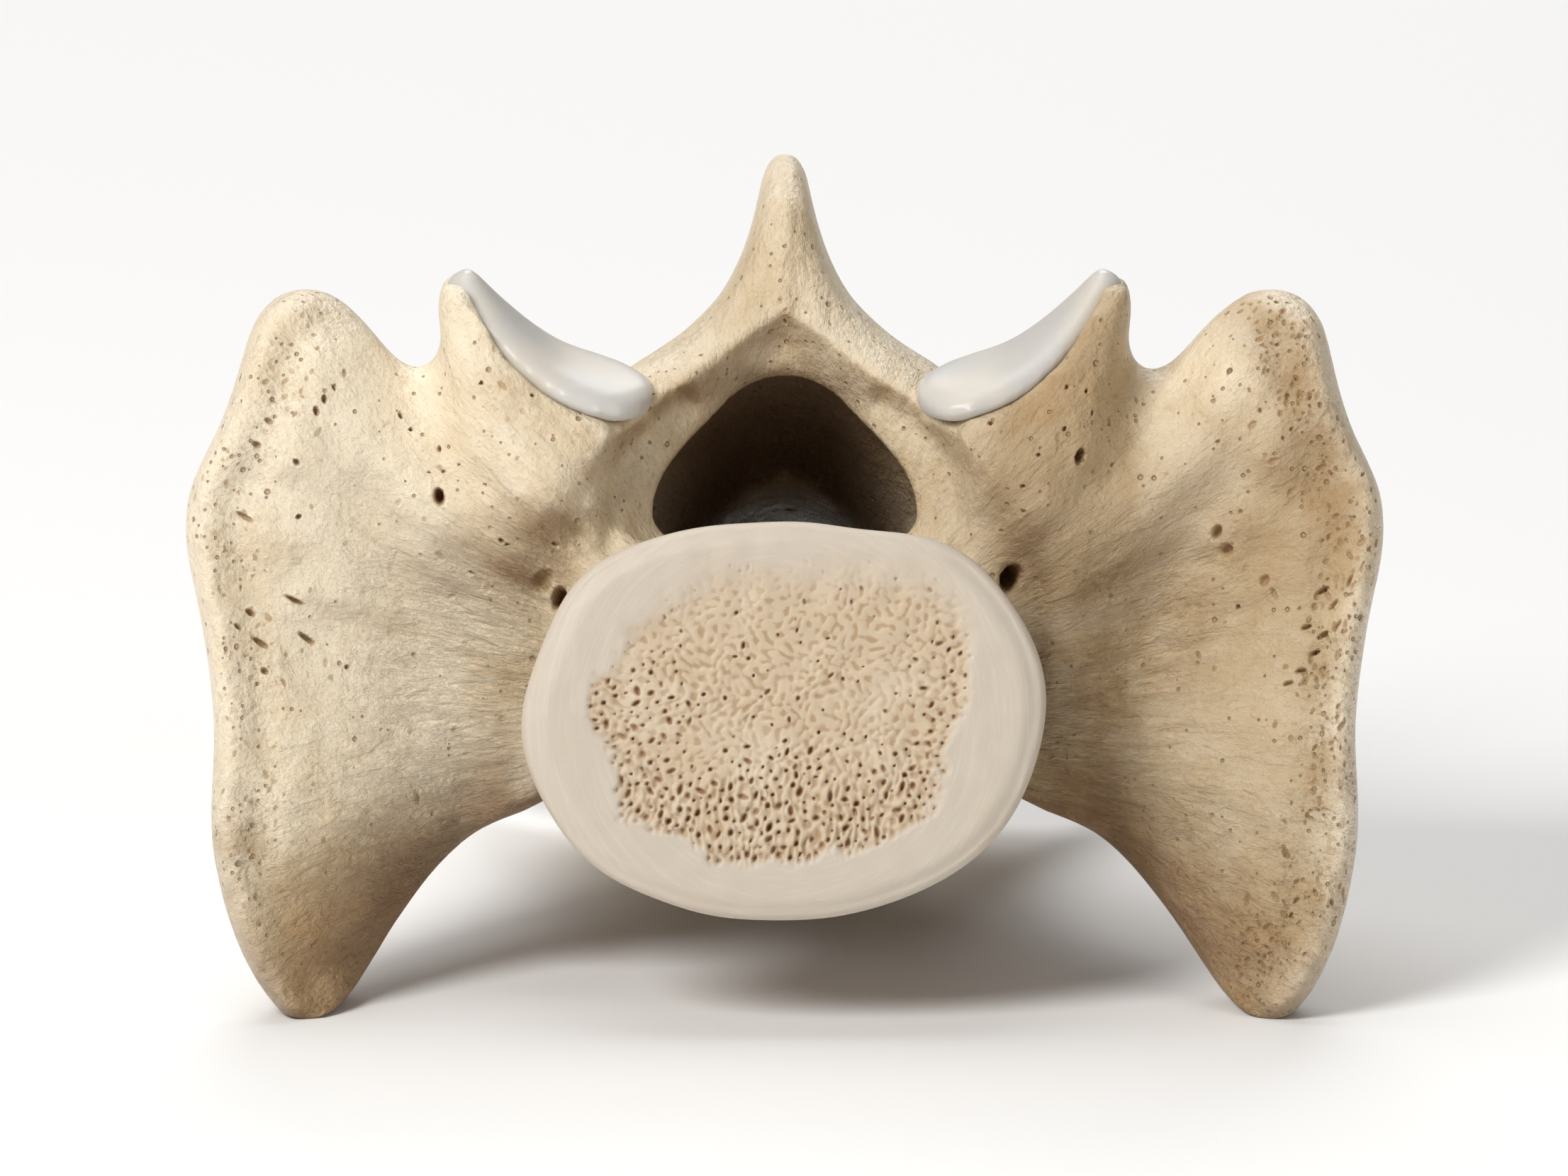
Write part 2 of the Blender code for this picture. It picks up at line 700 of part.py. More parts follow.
def saw_blades():
    blades = []
    for side in (1, -1):
        wing_path = ((WING_CUT_X, -FAR), WING_CUT_KNEE, WING_CUT_NOTCH, (WING_CUT_NOTCH[0], FAR))
        wing_path = [(side * x, z) for x, z in wing_path]
        blades.append(slab(wing_path, "Y", -FAR, WING_END_Y))
        out = ((CREST_CUT_X, -FAR), (FAR, -FAR), (FAR, FAR), (CREST_CUT_X, FAR))
        blades.append(plate(out if side > 0 else mirrored(out), WING_END_Y))
        crest_path = ((side * CREST_CUT_X, -FAR), (side * CREST_CUT_X, FAR))
        blades.append(slab(crest_path, "Y", WING_END_Y, FAR))
        (x0, z0), (x1, z1) = PROCESS_CUT
        blades.append(slab(((side * x0, z0), (side * x1, z1)), "Y", -FAR, PROCESS_END_Y))
        back = arch_outline(PROCESS_END_Y, WING_CUT_X, x0)
        blades.append(plate(back if side > 0 else mirrored(back), PROCESS_END_Y))
    for y0, y1, reach in ((-FAR, WING_END_Y, WING_CUT_X), (WING_END_Y, FAR, CREST_CUT_X)):
        path = ((y0, pedicle_height(y0)), (y1, pedicle_height(y1)))
        blades.append(slab(path, "X", -reach, reach))
    for y in BODY_CUTS_Y:
        reach = WING_CUT_X if y < WING_END_Y else CREST_CUT_X
        top = pedicle_height(y)
        blades.append(plate(((-reach, -FAR), (reach, -FAR), (reach, top), (-reach, top)), y))
    for y in ARCH_CUTS_Y:
        reach = WING_CUT_X if y < WING_END_Y else CREST_CUT_X
        half = arch_outline(y, reach, 0.0)
        blades.append(plate(half[1:-1] + tuple(mirrored(half[1:-1]))[::-1], y))
    for y0, y1, z0, z1 in SPINE_CUTS:
        blades.append(slab(((y0, z0), (y1, z1)), "X", -SPINE_CUT_REACH, SPINE_CUT_REACH))
    return blades


# A point inside each region of the sawn bone
REGIONS = {
    "body_s1": (0.0, 10.0, 0.0),
    "body_s2": (0.0, 25.0, 0.0),
    "body_s3": (0.0, 40.0, -1.0),
    "arch_s1": (0.0, 16.0, 17.5),
    "arch_s2": (0.0, 28.0, 13.0),
    "arch_s3": (0.0, 40.0, 8.5),
    "spine_s1": (0.0, 15.0, 24.0),
    "spine_s2": (0.0, 28.0, 19.0),
    "spine_s3": (0.0, 39.0, 13.0),
    "wing_left": (22.0, 10.0, 4.0),
    "wing_right": (-22.0, 10.0, 4.0),
    "cranial_process_left": (12.0, 8.0, 14.0),
    "cranial_process_right": (-12.0, 8.0, 14.0),
    "lateral_crest_left": (12.5, 35.0, 2.0),
    "lateral_crest_right": (-12.5, 35.0, 2.0),
}


def drop_folded_faces(mesh):
    """Two triangles on the same three corners enclose nothing, so both go."""
    corners = {}
    for face in mesh.faces:
        key = tuple(sorted(vert.index for vert in face.verts))
        corners.setdefault(key, []).append(face)
    folded = [face for pair in corners.values() if len(pair) > 1 for face in pair]
    bmesh.ops.delete(mesh, geom=folded, context="FACES")


def loose_bodies(obj):
    """The separate closed bodies of a mesh, each as its own bmesh."""
    whole = bmesh.new()
    whole.from_mesh(obj.data)
    bmesh.ops.triangulate(whole, faces=whole.faces)
    drop_folded_faces(whole)
    left = set(whole.verts)
    groups = []
    while left:
        seed = left.pop()
        group, front = {seed}, [seed]
        while front:
            for edge in front.pop().link_edges:
                for vert in edge.verts:
                    if vert in left:
                        left.remove(vert)
                        group.add(vert)
                        front.append(vert)
        groups.append(group)
    for group in sorted(groups, key=len, reverse=True):
        index = {vert: i for i, vert in enumerate(sorted(group, key=lambda v: v.index))}
        faces = {face for vert in group for face in vert.link_faces}
        part = bmesh.new()
        verts = [part.verts.new(vert.co) for vert in index]
        for face in sorted(faces, key=lambda f: f.index):
            part.faces.new([verts[index[vert]] for vert in face.verts])
        yield part
    whole.free()


def part_regions(bone):
    """Names each sawn body by the region point it lies nearest to; smaller crumbs are dropped."""
    made = {}
    for part in loose_bodies(bone):
        middle = Vector()
        total = 0.0
        for face in part.faces:
            area = face.calc_area()
            middle += face.calc_center_median() * area
            total += area
        middle /= total
        name = min(REGIONS, key=lambda n: (Vector(REGIONS[n]) - middle).length)
        size = part.calc_volume()
        if name in made and made[name][1] >= size:
            print("dropped a crumb of", round(size, 3), "mm3 near", name)
            part.free()
            continue
        if name in made:
            print("replaced a smaller body near", name)
            made[name][0].free()
        made[name] = (part, size)
    bpy.data.objects.remove(bone)
    return [new_object(name, made[name][0]) for name in REGIONS if name in made]


def material(name, colour, roughness):
    made = bpy.data.materials.new(name)
    made.use_nodes = True
    shader = made.node_tree.nodes["Principled BSDF"]
    shader.inputs["Base Color"].default_value = colour
    shader.inputs["Roughness"].default_value = roughness
    return made


def finish(obj, holder, surface):
    obj.data.materials.clear()
    obj.data.materials.append(surface)
    obj.data.shade_smooth()
    obj.data.set_sharp_from_angle(angle=math.radians(50))
    obj.parent = holder


def build_bone():
    forms = [make_body(), make_side_part(), make_roof()]
    for side in (1, -1):
        forms += [make_wing(side), make_process(side), make_lateral_crest(side)]
        forms += [make_knob(side, *knob) for knob in KNOBS]
    bone = join(forms, "bone")
    remesh(bone)
    fillet(bone)
    holes = [make_canal(), make_mouth(), make_seat(1), make_seat(-1)]
    holes += [make_foramen(side, *row) for side in (1, -1) for row in FORAMINA]
    boolean(bone, holes, "DIFFERENCE")
    remesh(bone)
    smooth(bone, 8)
    decimate(bone, TRIANGLES_BEFORE_SAWING)
    return bone


def front_block():
    """Clears the endplate's place, so that the disc sits a gap away from the first body."""
    rings = [endplate_points(1.06, y) for y in (-20.0, ENDPLATE_THICKNESS + GAP)]
    return loft("front_block", rings)


def main():
    clear_scene()
    bone = build_bone()
    facets = []
    for side, word in ((1, "left"), (-1, "right")):
        thick = FACET_HALF_THICKNESS
        facets.append(facet_loft(f"facet_{word}", FACET_LINE, side, thick, thick, 0.0))
    boolean(bone, [make_seat(1), make_seat(-1)], "DIFFERENCE")
    turn = rest_matrix()
    boolean(bone, [front_block(), floor_block(turn, lowest_point(bone, turn))], "DIFFERENCE")
    boolean(bone, saw_blades(), "DIFFERENCE")
    regions = part_regions(bone)
    endplate = make_endplate()

    corners = [turn @ vert.co for obj in regions + facets + [endplate] for vert in obj.data.vertices]
    middle = [-(min(c[i] for c in corners) + max(c[i] for c in corners)) / 2 for i in (0, 1)]
    holder = bpy.data.objects.new("resting_pose", None)
    bpy.context.scene.collection.objects.link(holder)
    down = -min(corner.z for corner in corners)
    holder.matrix_world = Matrix.Scale(MM, 4) @ Matrix.Translation((*middle, down)) @ turn
    bone_surface = material("bone", BONE_COLOUR, 0.6)
    for obj in regions:
        finish(obj, holder, bone_surface)
    finish(endplate, holder, material("endplate", ENDPLATE_COLOUR, 0.65))
    cartilage = material("cartilage", CARTILAGE_COLOUR, 0.25)
    for obj in facets:
        finish(obj, holder, cartilage)


main()
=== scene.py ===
# %% [markdown]
# # A dog's sacrum, dressed as dry bone
# The sacrum joins a dog's spine to its hips. Three vertebrae have grown into one bone, with two broad wings,
# a tunnel for the nerves, a crest along the back and two small joint surfaces that still wear their cartilage.
# The measured solids come first, because every finished piece must lie exactly where its solid does.

# %% Load the measured solids
import math
from collections import namedtuple

import bmesh
import bpy
import numpy as np
from mathutils import Matrix, Vector, kdtree
from mathutils.bvhtree import BVHTree


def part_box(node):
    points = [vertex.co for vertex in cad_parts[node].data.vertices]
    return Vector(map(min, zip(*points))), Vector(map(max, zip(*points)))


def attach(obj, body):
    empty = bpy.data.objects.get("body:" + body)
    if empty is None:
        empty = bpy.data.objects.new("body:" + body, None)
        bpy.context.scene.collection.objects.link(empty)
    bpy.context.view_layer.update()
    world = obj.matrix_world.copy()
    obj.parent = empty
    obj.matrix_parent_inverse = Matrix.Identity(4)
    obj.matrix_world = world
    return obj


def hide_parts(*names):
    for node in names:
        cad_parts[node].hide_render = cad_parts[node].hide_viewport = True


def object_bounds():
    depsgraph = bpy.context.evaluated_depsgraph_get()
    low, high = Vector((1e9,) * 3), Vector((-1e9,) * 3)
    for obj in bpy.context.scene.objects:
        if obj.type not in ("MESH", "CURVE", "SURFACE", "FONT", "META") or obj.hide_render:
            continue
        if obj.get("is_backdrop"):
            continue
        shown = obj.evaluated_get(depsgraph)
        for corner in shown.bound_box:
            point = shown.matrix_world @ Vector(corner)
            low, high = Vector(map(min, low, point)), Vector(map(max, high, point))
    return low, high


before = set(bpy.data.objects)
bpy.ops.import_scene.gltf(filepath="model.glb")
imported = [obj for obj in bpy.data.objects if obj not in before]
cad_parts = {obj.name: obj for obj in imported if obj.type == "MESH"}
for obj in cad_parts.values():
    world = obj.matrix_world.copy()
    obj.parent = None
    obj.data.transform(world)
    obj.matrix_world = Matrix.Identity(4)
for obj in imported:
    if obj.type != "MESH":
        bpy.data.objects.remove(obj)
cad_low, cad_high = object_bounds()
print("solids:", len(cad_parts), "box in mm:", [round(s * 1000, 1) for s in cad_high - cad_low])

# %% [markdown]
# ## The bone's own directions
# The bone lies on its wing tips and its tail end, so its spine slopes. Carving is easier in the bone's own
# directions: x to the animal's left, y along the spine from the front plate to the tail, z up through the crest.
# Seen from the front, the animal's left is on the right. Two small functions turn such millimetres into the
# scene's metres and back.

# %% Turn between the bone's millimetres and the scene's metres
MM = 0.001
TILT = math.radians(13.4)
FRONT_CENTRE = Vector((0.0, -22.0, 15.8))
LEAN = Matrix.Rotation(-TILT, 3, "X")
LEAN_ARRAY = np.array(LEAN)


def to_scene(points):
    return (np.asarray(points, float) @ LEAN_ARRAY.T + np.array(FRONT_CENTRE)) * MM


def to_bone(points):
    return (np.asarray(points, float) / MM - np.array(FRONT_CENTRE)) @ LEAN_ARRAY


def read_points(mesh):
    flat = np.empty(len(mesh.vertices) * 3, np.float32)
    mesh.vertices.foreach_get("co", flat)
    return flat.reshape(-1, 3).astype(float)


def write_points(mesh, points):
    mesh.vertices.foreach_set("co", np.asarray(points, np.float32).ravel())
    mesh.update()


def read_normals(mesh):
    flat = np.empty(len(mesh.vertices) * 3, np.float32)
    mesh.vertex_normals.foreach_get("vector", flat)
    return flat.reshape(-1, 3).astype(float)


plate_low, plate_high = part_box("endplate_cranial")
print("front plate in bone mm:", to_bone([plate_low, plate_high]).round(1).tolist())

# %% [markdown]
# ## Helpers for modifiers and for numbers that fade
# A modifier is added and applied in one go. A fade rises smoothly from 0 to 1 between two values and a bell is 1
# at one value and sinks to 0 on both sides, which keeps every carved edge soft, as weathered bone is.

# %% Apply a modifier, fade between two values


def apply(piece, kind, **settings):
    modifier = piece.modifiers.new(kind.title(), kind)
    for name, value in settings.items():
        setattr(modifier, name, value)
    with bpy.context.temp_override(object=piece, active_object=piece, selected_objects=[piece]):
        bpy.ops.object.modifier_apply(modifier=modifier.name)


def fade(value, start, end):
    t = np.clip((value - start) / (end - start), 0.0, 1.0)
    return t * t * (3.0 - 2.0 * t)


def bell(value, width, middle=0.0):
    """1 where the value is at the middle, sinking smoothly to 0 on both sides."""
    return np.exp(-(((value - middle) / width) ** 2))


def note(mesh, name, values):
    """Write one number per point, which a finish reads by its name."""
    mesh.attributes.new(name, "FLOAT", "POINT").data.foreach_set("value", values.astype(np.float32))


def lump_noise(points, size, seed):
    """Smooth random lumps about size across, from -1 to 1, the same on each run."""
    lattice = np.random.default_rng(seed).uniform(-1.0, 1.0, (48, 48, 48))
    p = np.asarray(points, float) / size + 400.0
    base = np.floor(p).astype(int)
    t = p - base
    t = t * t * (3.0 - 2.0 * t)
    total = np.zeros(len(p))
    for corner in range(8):
        step = np.array([corner >> 2 & 1, corner >> 1 & 1, corner & 1])
        weight = np.prod(np.where(step, t, 1.0 - t), axis=1)
        i, j, k = ((base + step) % 48).T
        total += weight * lattice[i, j, k]
    return total


print("fade at a half:", float(fade(0.5, 0.0, 1.0)))

# %% [markdown]
# ## One skin over the parted bone
# The solids are parted by thin cuts so that each region has its name, but the real bone has no gaps. The bone
# solids are copied, swelled by a fraction of a millimetre so that they overlap, remeshed into one shell and shrunk
# back. Smoothing and one subdivision then take away the facets.

# %% Fuse the bone solids into one shell
PLATE, FACETS = "endplate_cranial", ("facet_left", "facet_right")
BONE_NODES = [n for n in sorted(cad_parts) if n != PLATE and n not in FACETS]
SWELL, SHRINK = 0.22 * MM, 0.17 * MM
FIRST_VOXEL, SECOND_VOXEL = 0.30 * MM, 0.55 * MM


def solid_copy(node):
    """A copy of a solid to edit, with its doubled points joined."""
    copy = bmesh.new()
    copy.from_mesh(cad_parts[node].data)
    bmesh.ops.remove_doubles(copy, verts=copy.verts, dist=1e-6)
    copy.normal_update()
    return copy


shell = bmesh.new()
for name in BONE_NODES:
    part = solid_copy(name)
    for vertex in part.verts:
        vertex.co += vertex.normal * SWELL
    swelled = bpy.data.meshes.new("swelled")
    part.to_mesh(swelled)
    part.free()
    shell.from_mesh(swelled)
    bpy.data.meshes.remove(swelled)
skin_mesh = bpy.data.meshes.new("bone_skin")
shell.to_mesh(skin_mesh)
shell.free()
skin = bpy.data.objects.new("bone_skin", skin_mesh)
bpy.context.scene.collection.objects.link(skin)
apply(skin, "REMESH", mode="VOXEL", voxel_size=FIRST_VOXEL)
apply(skin, "SMOOTH", factor=0.5, iterations=12)
apply(skin, "DISPLACE", strength=-SHRINK, mid_level=0.0)
apply(skin, "REMESH", mode="VOXEL", voxel_size=SECOND_VOXEL)
apply(skin, "SMOOTH", factor=0.5, iterations=3)
apply(skin, "SUBSURF", levels=1, render_levels=1)
print("fused shell:", len(skin.data.polygons), "faces")

# %% [markdown]
# ## Broad relief of the front
# The wings are not flat. A ridge runs from each wing's upper bump down to the plate with a hollow beside it, a low
# lip follows the outer rim, and the lower inner edge rolls under. Each form is a soft stroke along a line, as a
# sculptor would draw it, given for one side as seen from the front and used on both. The ridge, its hollow and
# the foot of the wing beside the plate are weaker on the animal's right.

# %% Read the skin in the bone's directions
skin_points = to_bone(read_points(skin.data))
x, y, z = skin_points.T
facing = fade(-(read_normals(skin.data) @ LEAN_ARRAY)[:, 1], 0.0, 0.55)
beside = np.abs(x)
front_view = np.c_[beside, z]


def distance_to_line(points, line):
    best = np.full(len(points), 1e9)
    for a, b in zip(np.array(line[:-1]), np.array(line[1:])):
        along = np.clip(((points - a) @ (b - a)) / ((b - a) @ (b - a)), 0.0, 1.0)
        best = np.minimum(best, np.hypot(*(points - a - along[:, None] * (b - a)).T))
    return best


def stroke(line, width):
    """A soft band along the line, as wide as asked."""
    return bell(distance_to_line(front_view, line), width)


print("skin points:", len(x))

# %% Draw the strokes
RIM = [
    (24.6, 21.9), (26.8, 20.2), (27.6, 17.2), (28.4, 14.6), (29.8, 11.8), (30.1, 9.0),
    (29.2, 4.6), (28.6, -0.5), (28.8, -5.8), (27.7, -10.8), (25.9, -14.2),
]
LOWER_EDGE = [(14.5, -4.8), (17.6, -7.4), (19.8, -10.4), (22.0, -13.9), (23.6, -15.6)]
RIDGE = [(23.2, 18.2), (20.6, 13.4), (17.6, 10.2), (13.6, 7.2)]
VALLEY = [(27.0, 13.5), (25.0, 10.5), (21.6, 6.0), (17.0, 2.2)]
FOOT = [(14.6, -1.0), (14.8, 2.5), (14.2, 6.0)]
ARCH_EDGE = [
    (0.0, 20.6), (1.6, 19.7), (3.1, 18.5), (4.7, 17.3), (6.0, 16.4),
    (7.4, 15.3), (8.7, 14.0), (9.4, 12.4), (9.4, 10.8),
]
ARCH_DISH = [(0.0, 18.9), (1.6, 18.3), (3.2, 17.2), (4.9, 16.1), (6.4, 15.0), (7.7, 13.6), (8.4, 12.0)]
CREST_FRONT = [(0.0, 25.9), (0.0, 20.8)]
TUNNEL_WALL = [(8.7, 8.6), (8.8, 10.5), (8.5, 12.4), (7.6, 14.0), (6.4, 15.1), (5.0, 16.0)]
LIP = [(15.3, 20.4), (14.2, 18.9), (12.6, 17.0), (11.1, 15.7), (9.6, 14.9), (8.1, 14.6), (7.2, 15.0)]
ROLL_UNDER, FLATTEN = 3.8, 1.2
VALLEY_DEPTH, RIDGE_HEIGHT = 1.0, 0.9
LIP_HEIGHT, WALL_DEPTH = 0.45, 0.7

wing = fade(beside, 14.0, 16.5)
to_rim = distance_to_line(front_view, RIM)
to_edge = distance_to_line(front_view, LOWER_EDGE)
rolled = ROLL_UNDER * np.clip(1 - to_edge / 5.5, 0, 1) ** 2
back = rolled * wing * (1 - fade(y, 5.0, 17.0)) * fade(z, -16.0, -11.5)
back += FLATTEN * fade(beside, 20.0, 27.0) * (1 - fade(z, 11.0, 15.0)) * (1 - fade(y, 4.0, 13.0))
folds = (VALLEY_DEPTH * stroke(VALLEY, 2.6) - RIDGE_HEIGHT * stroke(RIDGE, 1.9)) * np.where(x > 0, 1.0, 0.4)
back += folds * fade(beside, 12.0, 15.0) * (1 - fade(y, 9.0, 16.0))
back -= np.where(x > 0, 1.1, 0.35) * stroke(FOOT, 2.2) * fade(beside, 12.0, 13.5) * (1 - fade(y, 8.0, 17.0))
rim_groove = 0.34 * bell(to_rim, 0.9, 2.5) - 0.28 * bell(to_rim, 0.7, 0.8)
back += rim_groove * facing * (1 - fade(y, 5.0, 8.0))
front = facing * (1 - fade(y, 11.0, 14.0))
back += front * WALL_DEPTH * stroke(TUNNEL_WALL, 0.6)
back -= front * (0.38 * stroke(ARCH_EDGE, 0.5) - 0.30 * stroke(ARCH_DISH, 0.9) + 0.25 * stroke(CREST_FRONT, 0.5))
crinkle = 0.6 + 0.5 * lump_noise(skin_points, 0.8, 31)
back -= facing * (1 - fade(y, 5.0, 7.5)) * LIP_HEIGHT * crinkle * stroke(LIP, 0.36)
print("moved back by the strokes:", round(float(back.max()), 2), "mm at most")

# %% [markdown]
# Old bone is never quite smooth. Soft lumps of three sizes cover it, small knobs follow its rims, and low fibres
# fan out from the middle into the wings.

# %% Lumps, knobs and fibres
lumps = (
    0.11 * lump_noise(skin_points, 3.4, 32)
    + 0.07 * lump_noise(skin_points, 1.5, 33)
    + 0.03 * lump_noise(skin_points, 0.7, 34)
)
knobs = 0.16 * lump_noise(skin_points, 1.0, 35) * bell(to_rim, 1.2)
from_axis = np.hypot(x, z)
fan = np.c_[np.arctan2(x, z) * 20.0, from_axis * 0.30, y * 0.3]
fibres = (0.17 * lump_noise(fan, 1.5, 36) + 0.09 * lump_noise(fan, 0.9, 37)) * fade(from_axis, 12.0, 15.0)
back += facing * (lumps + knobs + fibres)
skin_points[:, 1] += back
CREST_LIFT = 0.3
skin_points[:, 2] += CREST_LIFT * fade(z, 21.0, 28.0)
print("moved back by up to", round(float(back.max()), 2), "and forward by up to", round(float(-back.min()), 2), "mm")

# %% [markdown]
# The tunnel for the nerves is wider inside than at its mouth, so its mouth has a crisp edge. On its two sides the
# edge first leans inwards as a low lip, and points of the wall behind are moved out from the tunnel's middle line.

# %% Widen the tunnel behind its mouth
TUNNEL_MIDDLE = 12.2
WIDEN, LEAN_IN = 0.5, 1.15


def round_tunnel(points, normals):
    """Directions out from the tunnel's middle line, the distances from it, and how far each point faces it."""
    from_middle = np.c_[points[:, 0], points[:, 2] - TUNNEL_MIDDLE]
    distance = np.hypot(*from_middle.T) + 1e-6
    outwards = from_middle / distance[:, None]
    looks_in = -(normals[:, 0] * outwards[:, 0] + normals[:, 2] * outwards[:, 1])
    return outwards, distance, looks_in


def mouth_edge(x):
    """How far back the tunnel's edge lies at x, which is furthest in the middle, and how far x is to its sides."""
    return 6.9 + 4.2 * bell(x, 5.6), fade(np.abs(x), 0.5, 7.0)


outwards, span, looks_in = round_tunnel(np.c_[x, y, z], read_normals(skin.data) @ LEAN_ARRAY)
mouth, sides = mouth_edge(x)
tunnel = fade(looks_in, 0.1, 0.4) * (span < 8.6) * (z > 6.5)
widened = WIDEN * tunnel * fade(y, mouth + 1.2 * sides, mouth + 1.2 * sides + 0.5) * (1 - fade(y, 24.0, 34.0))
widened -= LEAN_IN * tunnel * sides * np.exp(-(((y - mouth - 0.7) / 0.9) ** 2))
skin_points[:, 0] += widened * outwards[:, 0]
skin_points[:, 2] += widened * outwards[:, 1]
write_points(skin.data, to_scene(skin_points))
print("tunnel points:", int((tunnel > 0.5).sum()))

# %% [markdown]
# ## Thin the smooth shell
# The flat stretches need few triangles and the carved pits need many, so the smooth shell is thinned first,
# and it is refined again only where a pit will be.

# %% Thin the shell where it is smooth
SMOOTH_TRIANGLES = 100000
skin_triangles = sum(len(p.vertices) - 2 for p in skin.data.polygons)
apply(skin, "DECIMATE", ratio=SMOOTH_TRIANGLES / skin_triangles)
print("thinned shell:", len(skin.data.polygons), "triangles")

# %% [markdown]
# ## Pits and nerve or vessel holes
# Dry bone is pierced by small vessel holes. The large ones have places of their own, given as they are seen
# from the front: x, z, half length, half width, turn in degrees and depth. The small ones crowd along the outer
# rims of the wings, where the hip's ligaments held on, and are scattered by chance from a fixed seed.

# %% Choose the holes
NAMED_HOLES = [
    (11.3, 7.1, 0.78, 0.52, 75, 2.4),
    (14.8, 13.2, 0.44, 0.26, 80, 1.1),
    (21.6, 9.4, 0.44, 0.26, 60, 0.5),
    (22.1, 8.5, 0.42, 0.34, 50, 0.5),
    (24.0, 7.0, 0.36, 0.24, 40, 0.25),
    (22.7, 5.7, 0.15, 0.11, 90, 0.3),
    (23.2, 5.7, 0.13, 0.10, 0, 0.3),
    (23.4, 6.0, 0.13, 0.09, 30, 0.3),
    (10.3, 14.9, 0.15, 0.12, 20, 0.3),
    (12.9, 14.7, 0.14, 0.11, 70, 0.3),
    (14.0, 14.6, 0.16, 0.11, 80, 0.3),
    (13.8, 15.4, 0.17, 0.11, 80, 0.3),
    (14.1, 16.7, 0.14, 0.10, 80, 0.3),
    (15.1, 16.5, 0.15, 0.09, 75, 0.3),
    (15.4, 15.4, 0.14, 0.10, 75, 0.3),
    (12.7, 13.3, 0.12, 0.10, 0, 0.25),
    (11.9, 11.7, 0.15, 0.11, 0, 0.3),
    (26.9, 6.5, 0.42, 0.14, 30, 0.35),
    (27.4, 5.8, 0.40, 0.13, 35, 0.35),
    (28.2, 7.0, 0.36, 0.13, 60, 0.35),
    (26.1, 4.7, 0.34, 0.13, 20, 0.35),
    (26.9, 4.3, 0.40, 0.14, 25, 0.4),
    (27.6, 4.8, 0.36, 0.12, 40, 0.35),
    (26.5, 3.4, 0.38, 0.13, 20, 0.35),
    (25.8, 2.5, 0.30, 0.13, 10, 0.35),
    (25.2, 1.9, 0.30, 0.12, 10, 0.3),
    (-17.3, 11.2, 0.46, 0.28, 100, 1.2),
    (-15.2, 16.9, 0.15, 0.11, 0, 0.3),
    (-12.6, 16.3, 0.13, 0.10, 0, 0.3),
    (-19.2, 15.3, 0.20, 0.14, 120, 0.4),
    (-18.7, 14.6, 0.14, 0.11, 0, 0.3),
    (-17.3, 13.6, 0.17, 0.12, 90, 0.35),
    (-17.1, 12.5, 0.12, 0.10, 0, 0.3),
    (-17.8, 12.4, 0.11, 0.09, 0, 0.3),
    (-16.3, 12.8, 0.11, 0.09, 0, 0.3),
    (-15.0, 11.8, 0.11, 0.10, 0, 0.3),
    (-14.2, 9.0, 0.16, 0.11, 150, 0.3),
    (-13.9, 8.8, 0.10, 0.08, 0, 0.25),
    (-12.8, 10.4, 0.16, 0.09, 120, 0.3),
    (-11.9, 9.9, 0.20, 0.09, 125, 0.3),
    (-11.5, 8.8, 0.22, 0.09, 135, 0.3),
    (-11.7, 8.2, 0.18, 0.09, 140, 0.3),
    (-24.4, 12.9, 0.24, 0.14, 130, 0.4),
    (-24.3, 10.2, 0.18, 0.14, 0, 0.35),
    (-15.7, 7.4, 0.16, 0.09, 140, 0.25),
    (-14.5, 4.8, 0.13, 0.10, 0, 0.25),
    (-21.9, 2.7, 0.16, 0.12, 0, 0.25),
    (-12.1, 6.9, 0.75, 0.48, 60, 0.40),
    (-11.3, 6.1, 0.62, 0.36, 65, 1.3),
    (-23.4, 15.5, 0.28, 0.17, 110, 0.4),
    (-23.0, 16.1, 0.26, 0.15, 100, 0.4),
    (-22.5, 16.7, 0.22, 0.13, 100, 0.35),
    (-25.8, 15.0, 0.26, 0.15, 150, 0.25),
    (-26.4, 13.8, 0.30, 0.16, 150, 0.3),
    (-27.0, 10.2, 0.52, 0.13, 150, 0.35),
    (-24.5, 6.0, 0.62, 0.13, 150, 0.45),
    (-23.9, 4.1, 0.62, 0.14, 150, 0.45),
    (-26.7, 5.4, 0.34, 0.15, 150, 0.4),
    (-27.3, 4.7, 0.30, 0.13, 160, 0.4),
    (-26.2, 3.9, 0.52, 0.16, 150, 0.45),
    (-26.0, 2.5, 0.24, 0.17, 150, 0.35),
    (0.0, 20.0, 0.20, 0.10, 90, 0.35),
]
RIM_SEEN_RIGHT = [
    (25.1, 21.5), (27.1, 17.6), (29.1, 14.1), (30.0, 11.0), (29.3, 6.3),
    (28.4, 0.8), (28.5, -5.1), (27.0, -10.2), (23.5, -14.9),
]
RIM_SEEN_LEFT = [(-x, z) for x, z in RIM_SEEN_RIGHT]
SMALL_HOLES, TRIES, SPACING = 500, 60000, 0.33
PLATE_HALF_WIDTH, PLATE_HALF_HEIGHT = 13.4, 10.2
Hole = namedtuple("Hole", "place outward half_length half_width turn depth dark")

surface = BVHTree.FromPolygons([v.co for v in skin.data.vertices], [p.vertices for p in skin.data.polygons])
FORWARD = LEAN @ Vector((0.0, 1.0, 0.0))


def find_from_front(x, z):
    """The first point of the bone met from the front at x, z, and the outward direction there."""
    return surface.ray_cast(Vector(to_scene([(x, -40.0, z)])[0]), FORWARD)[:2]


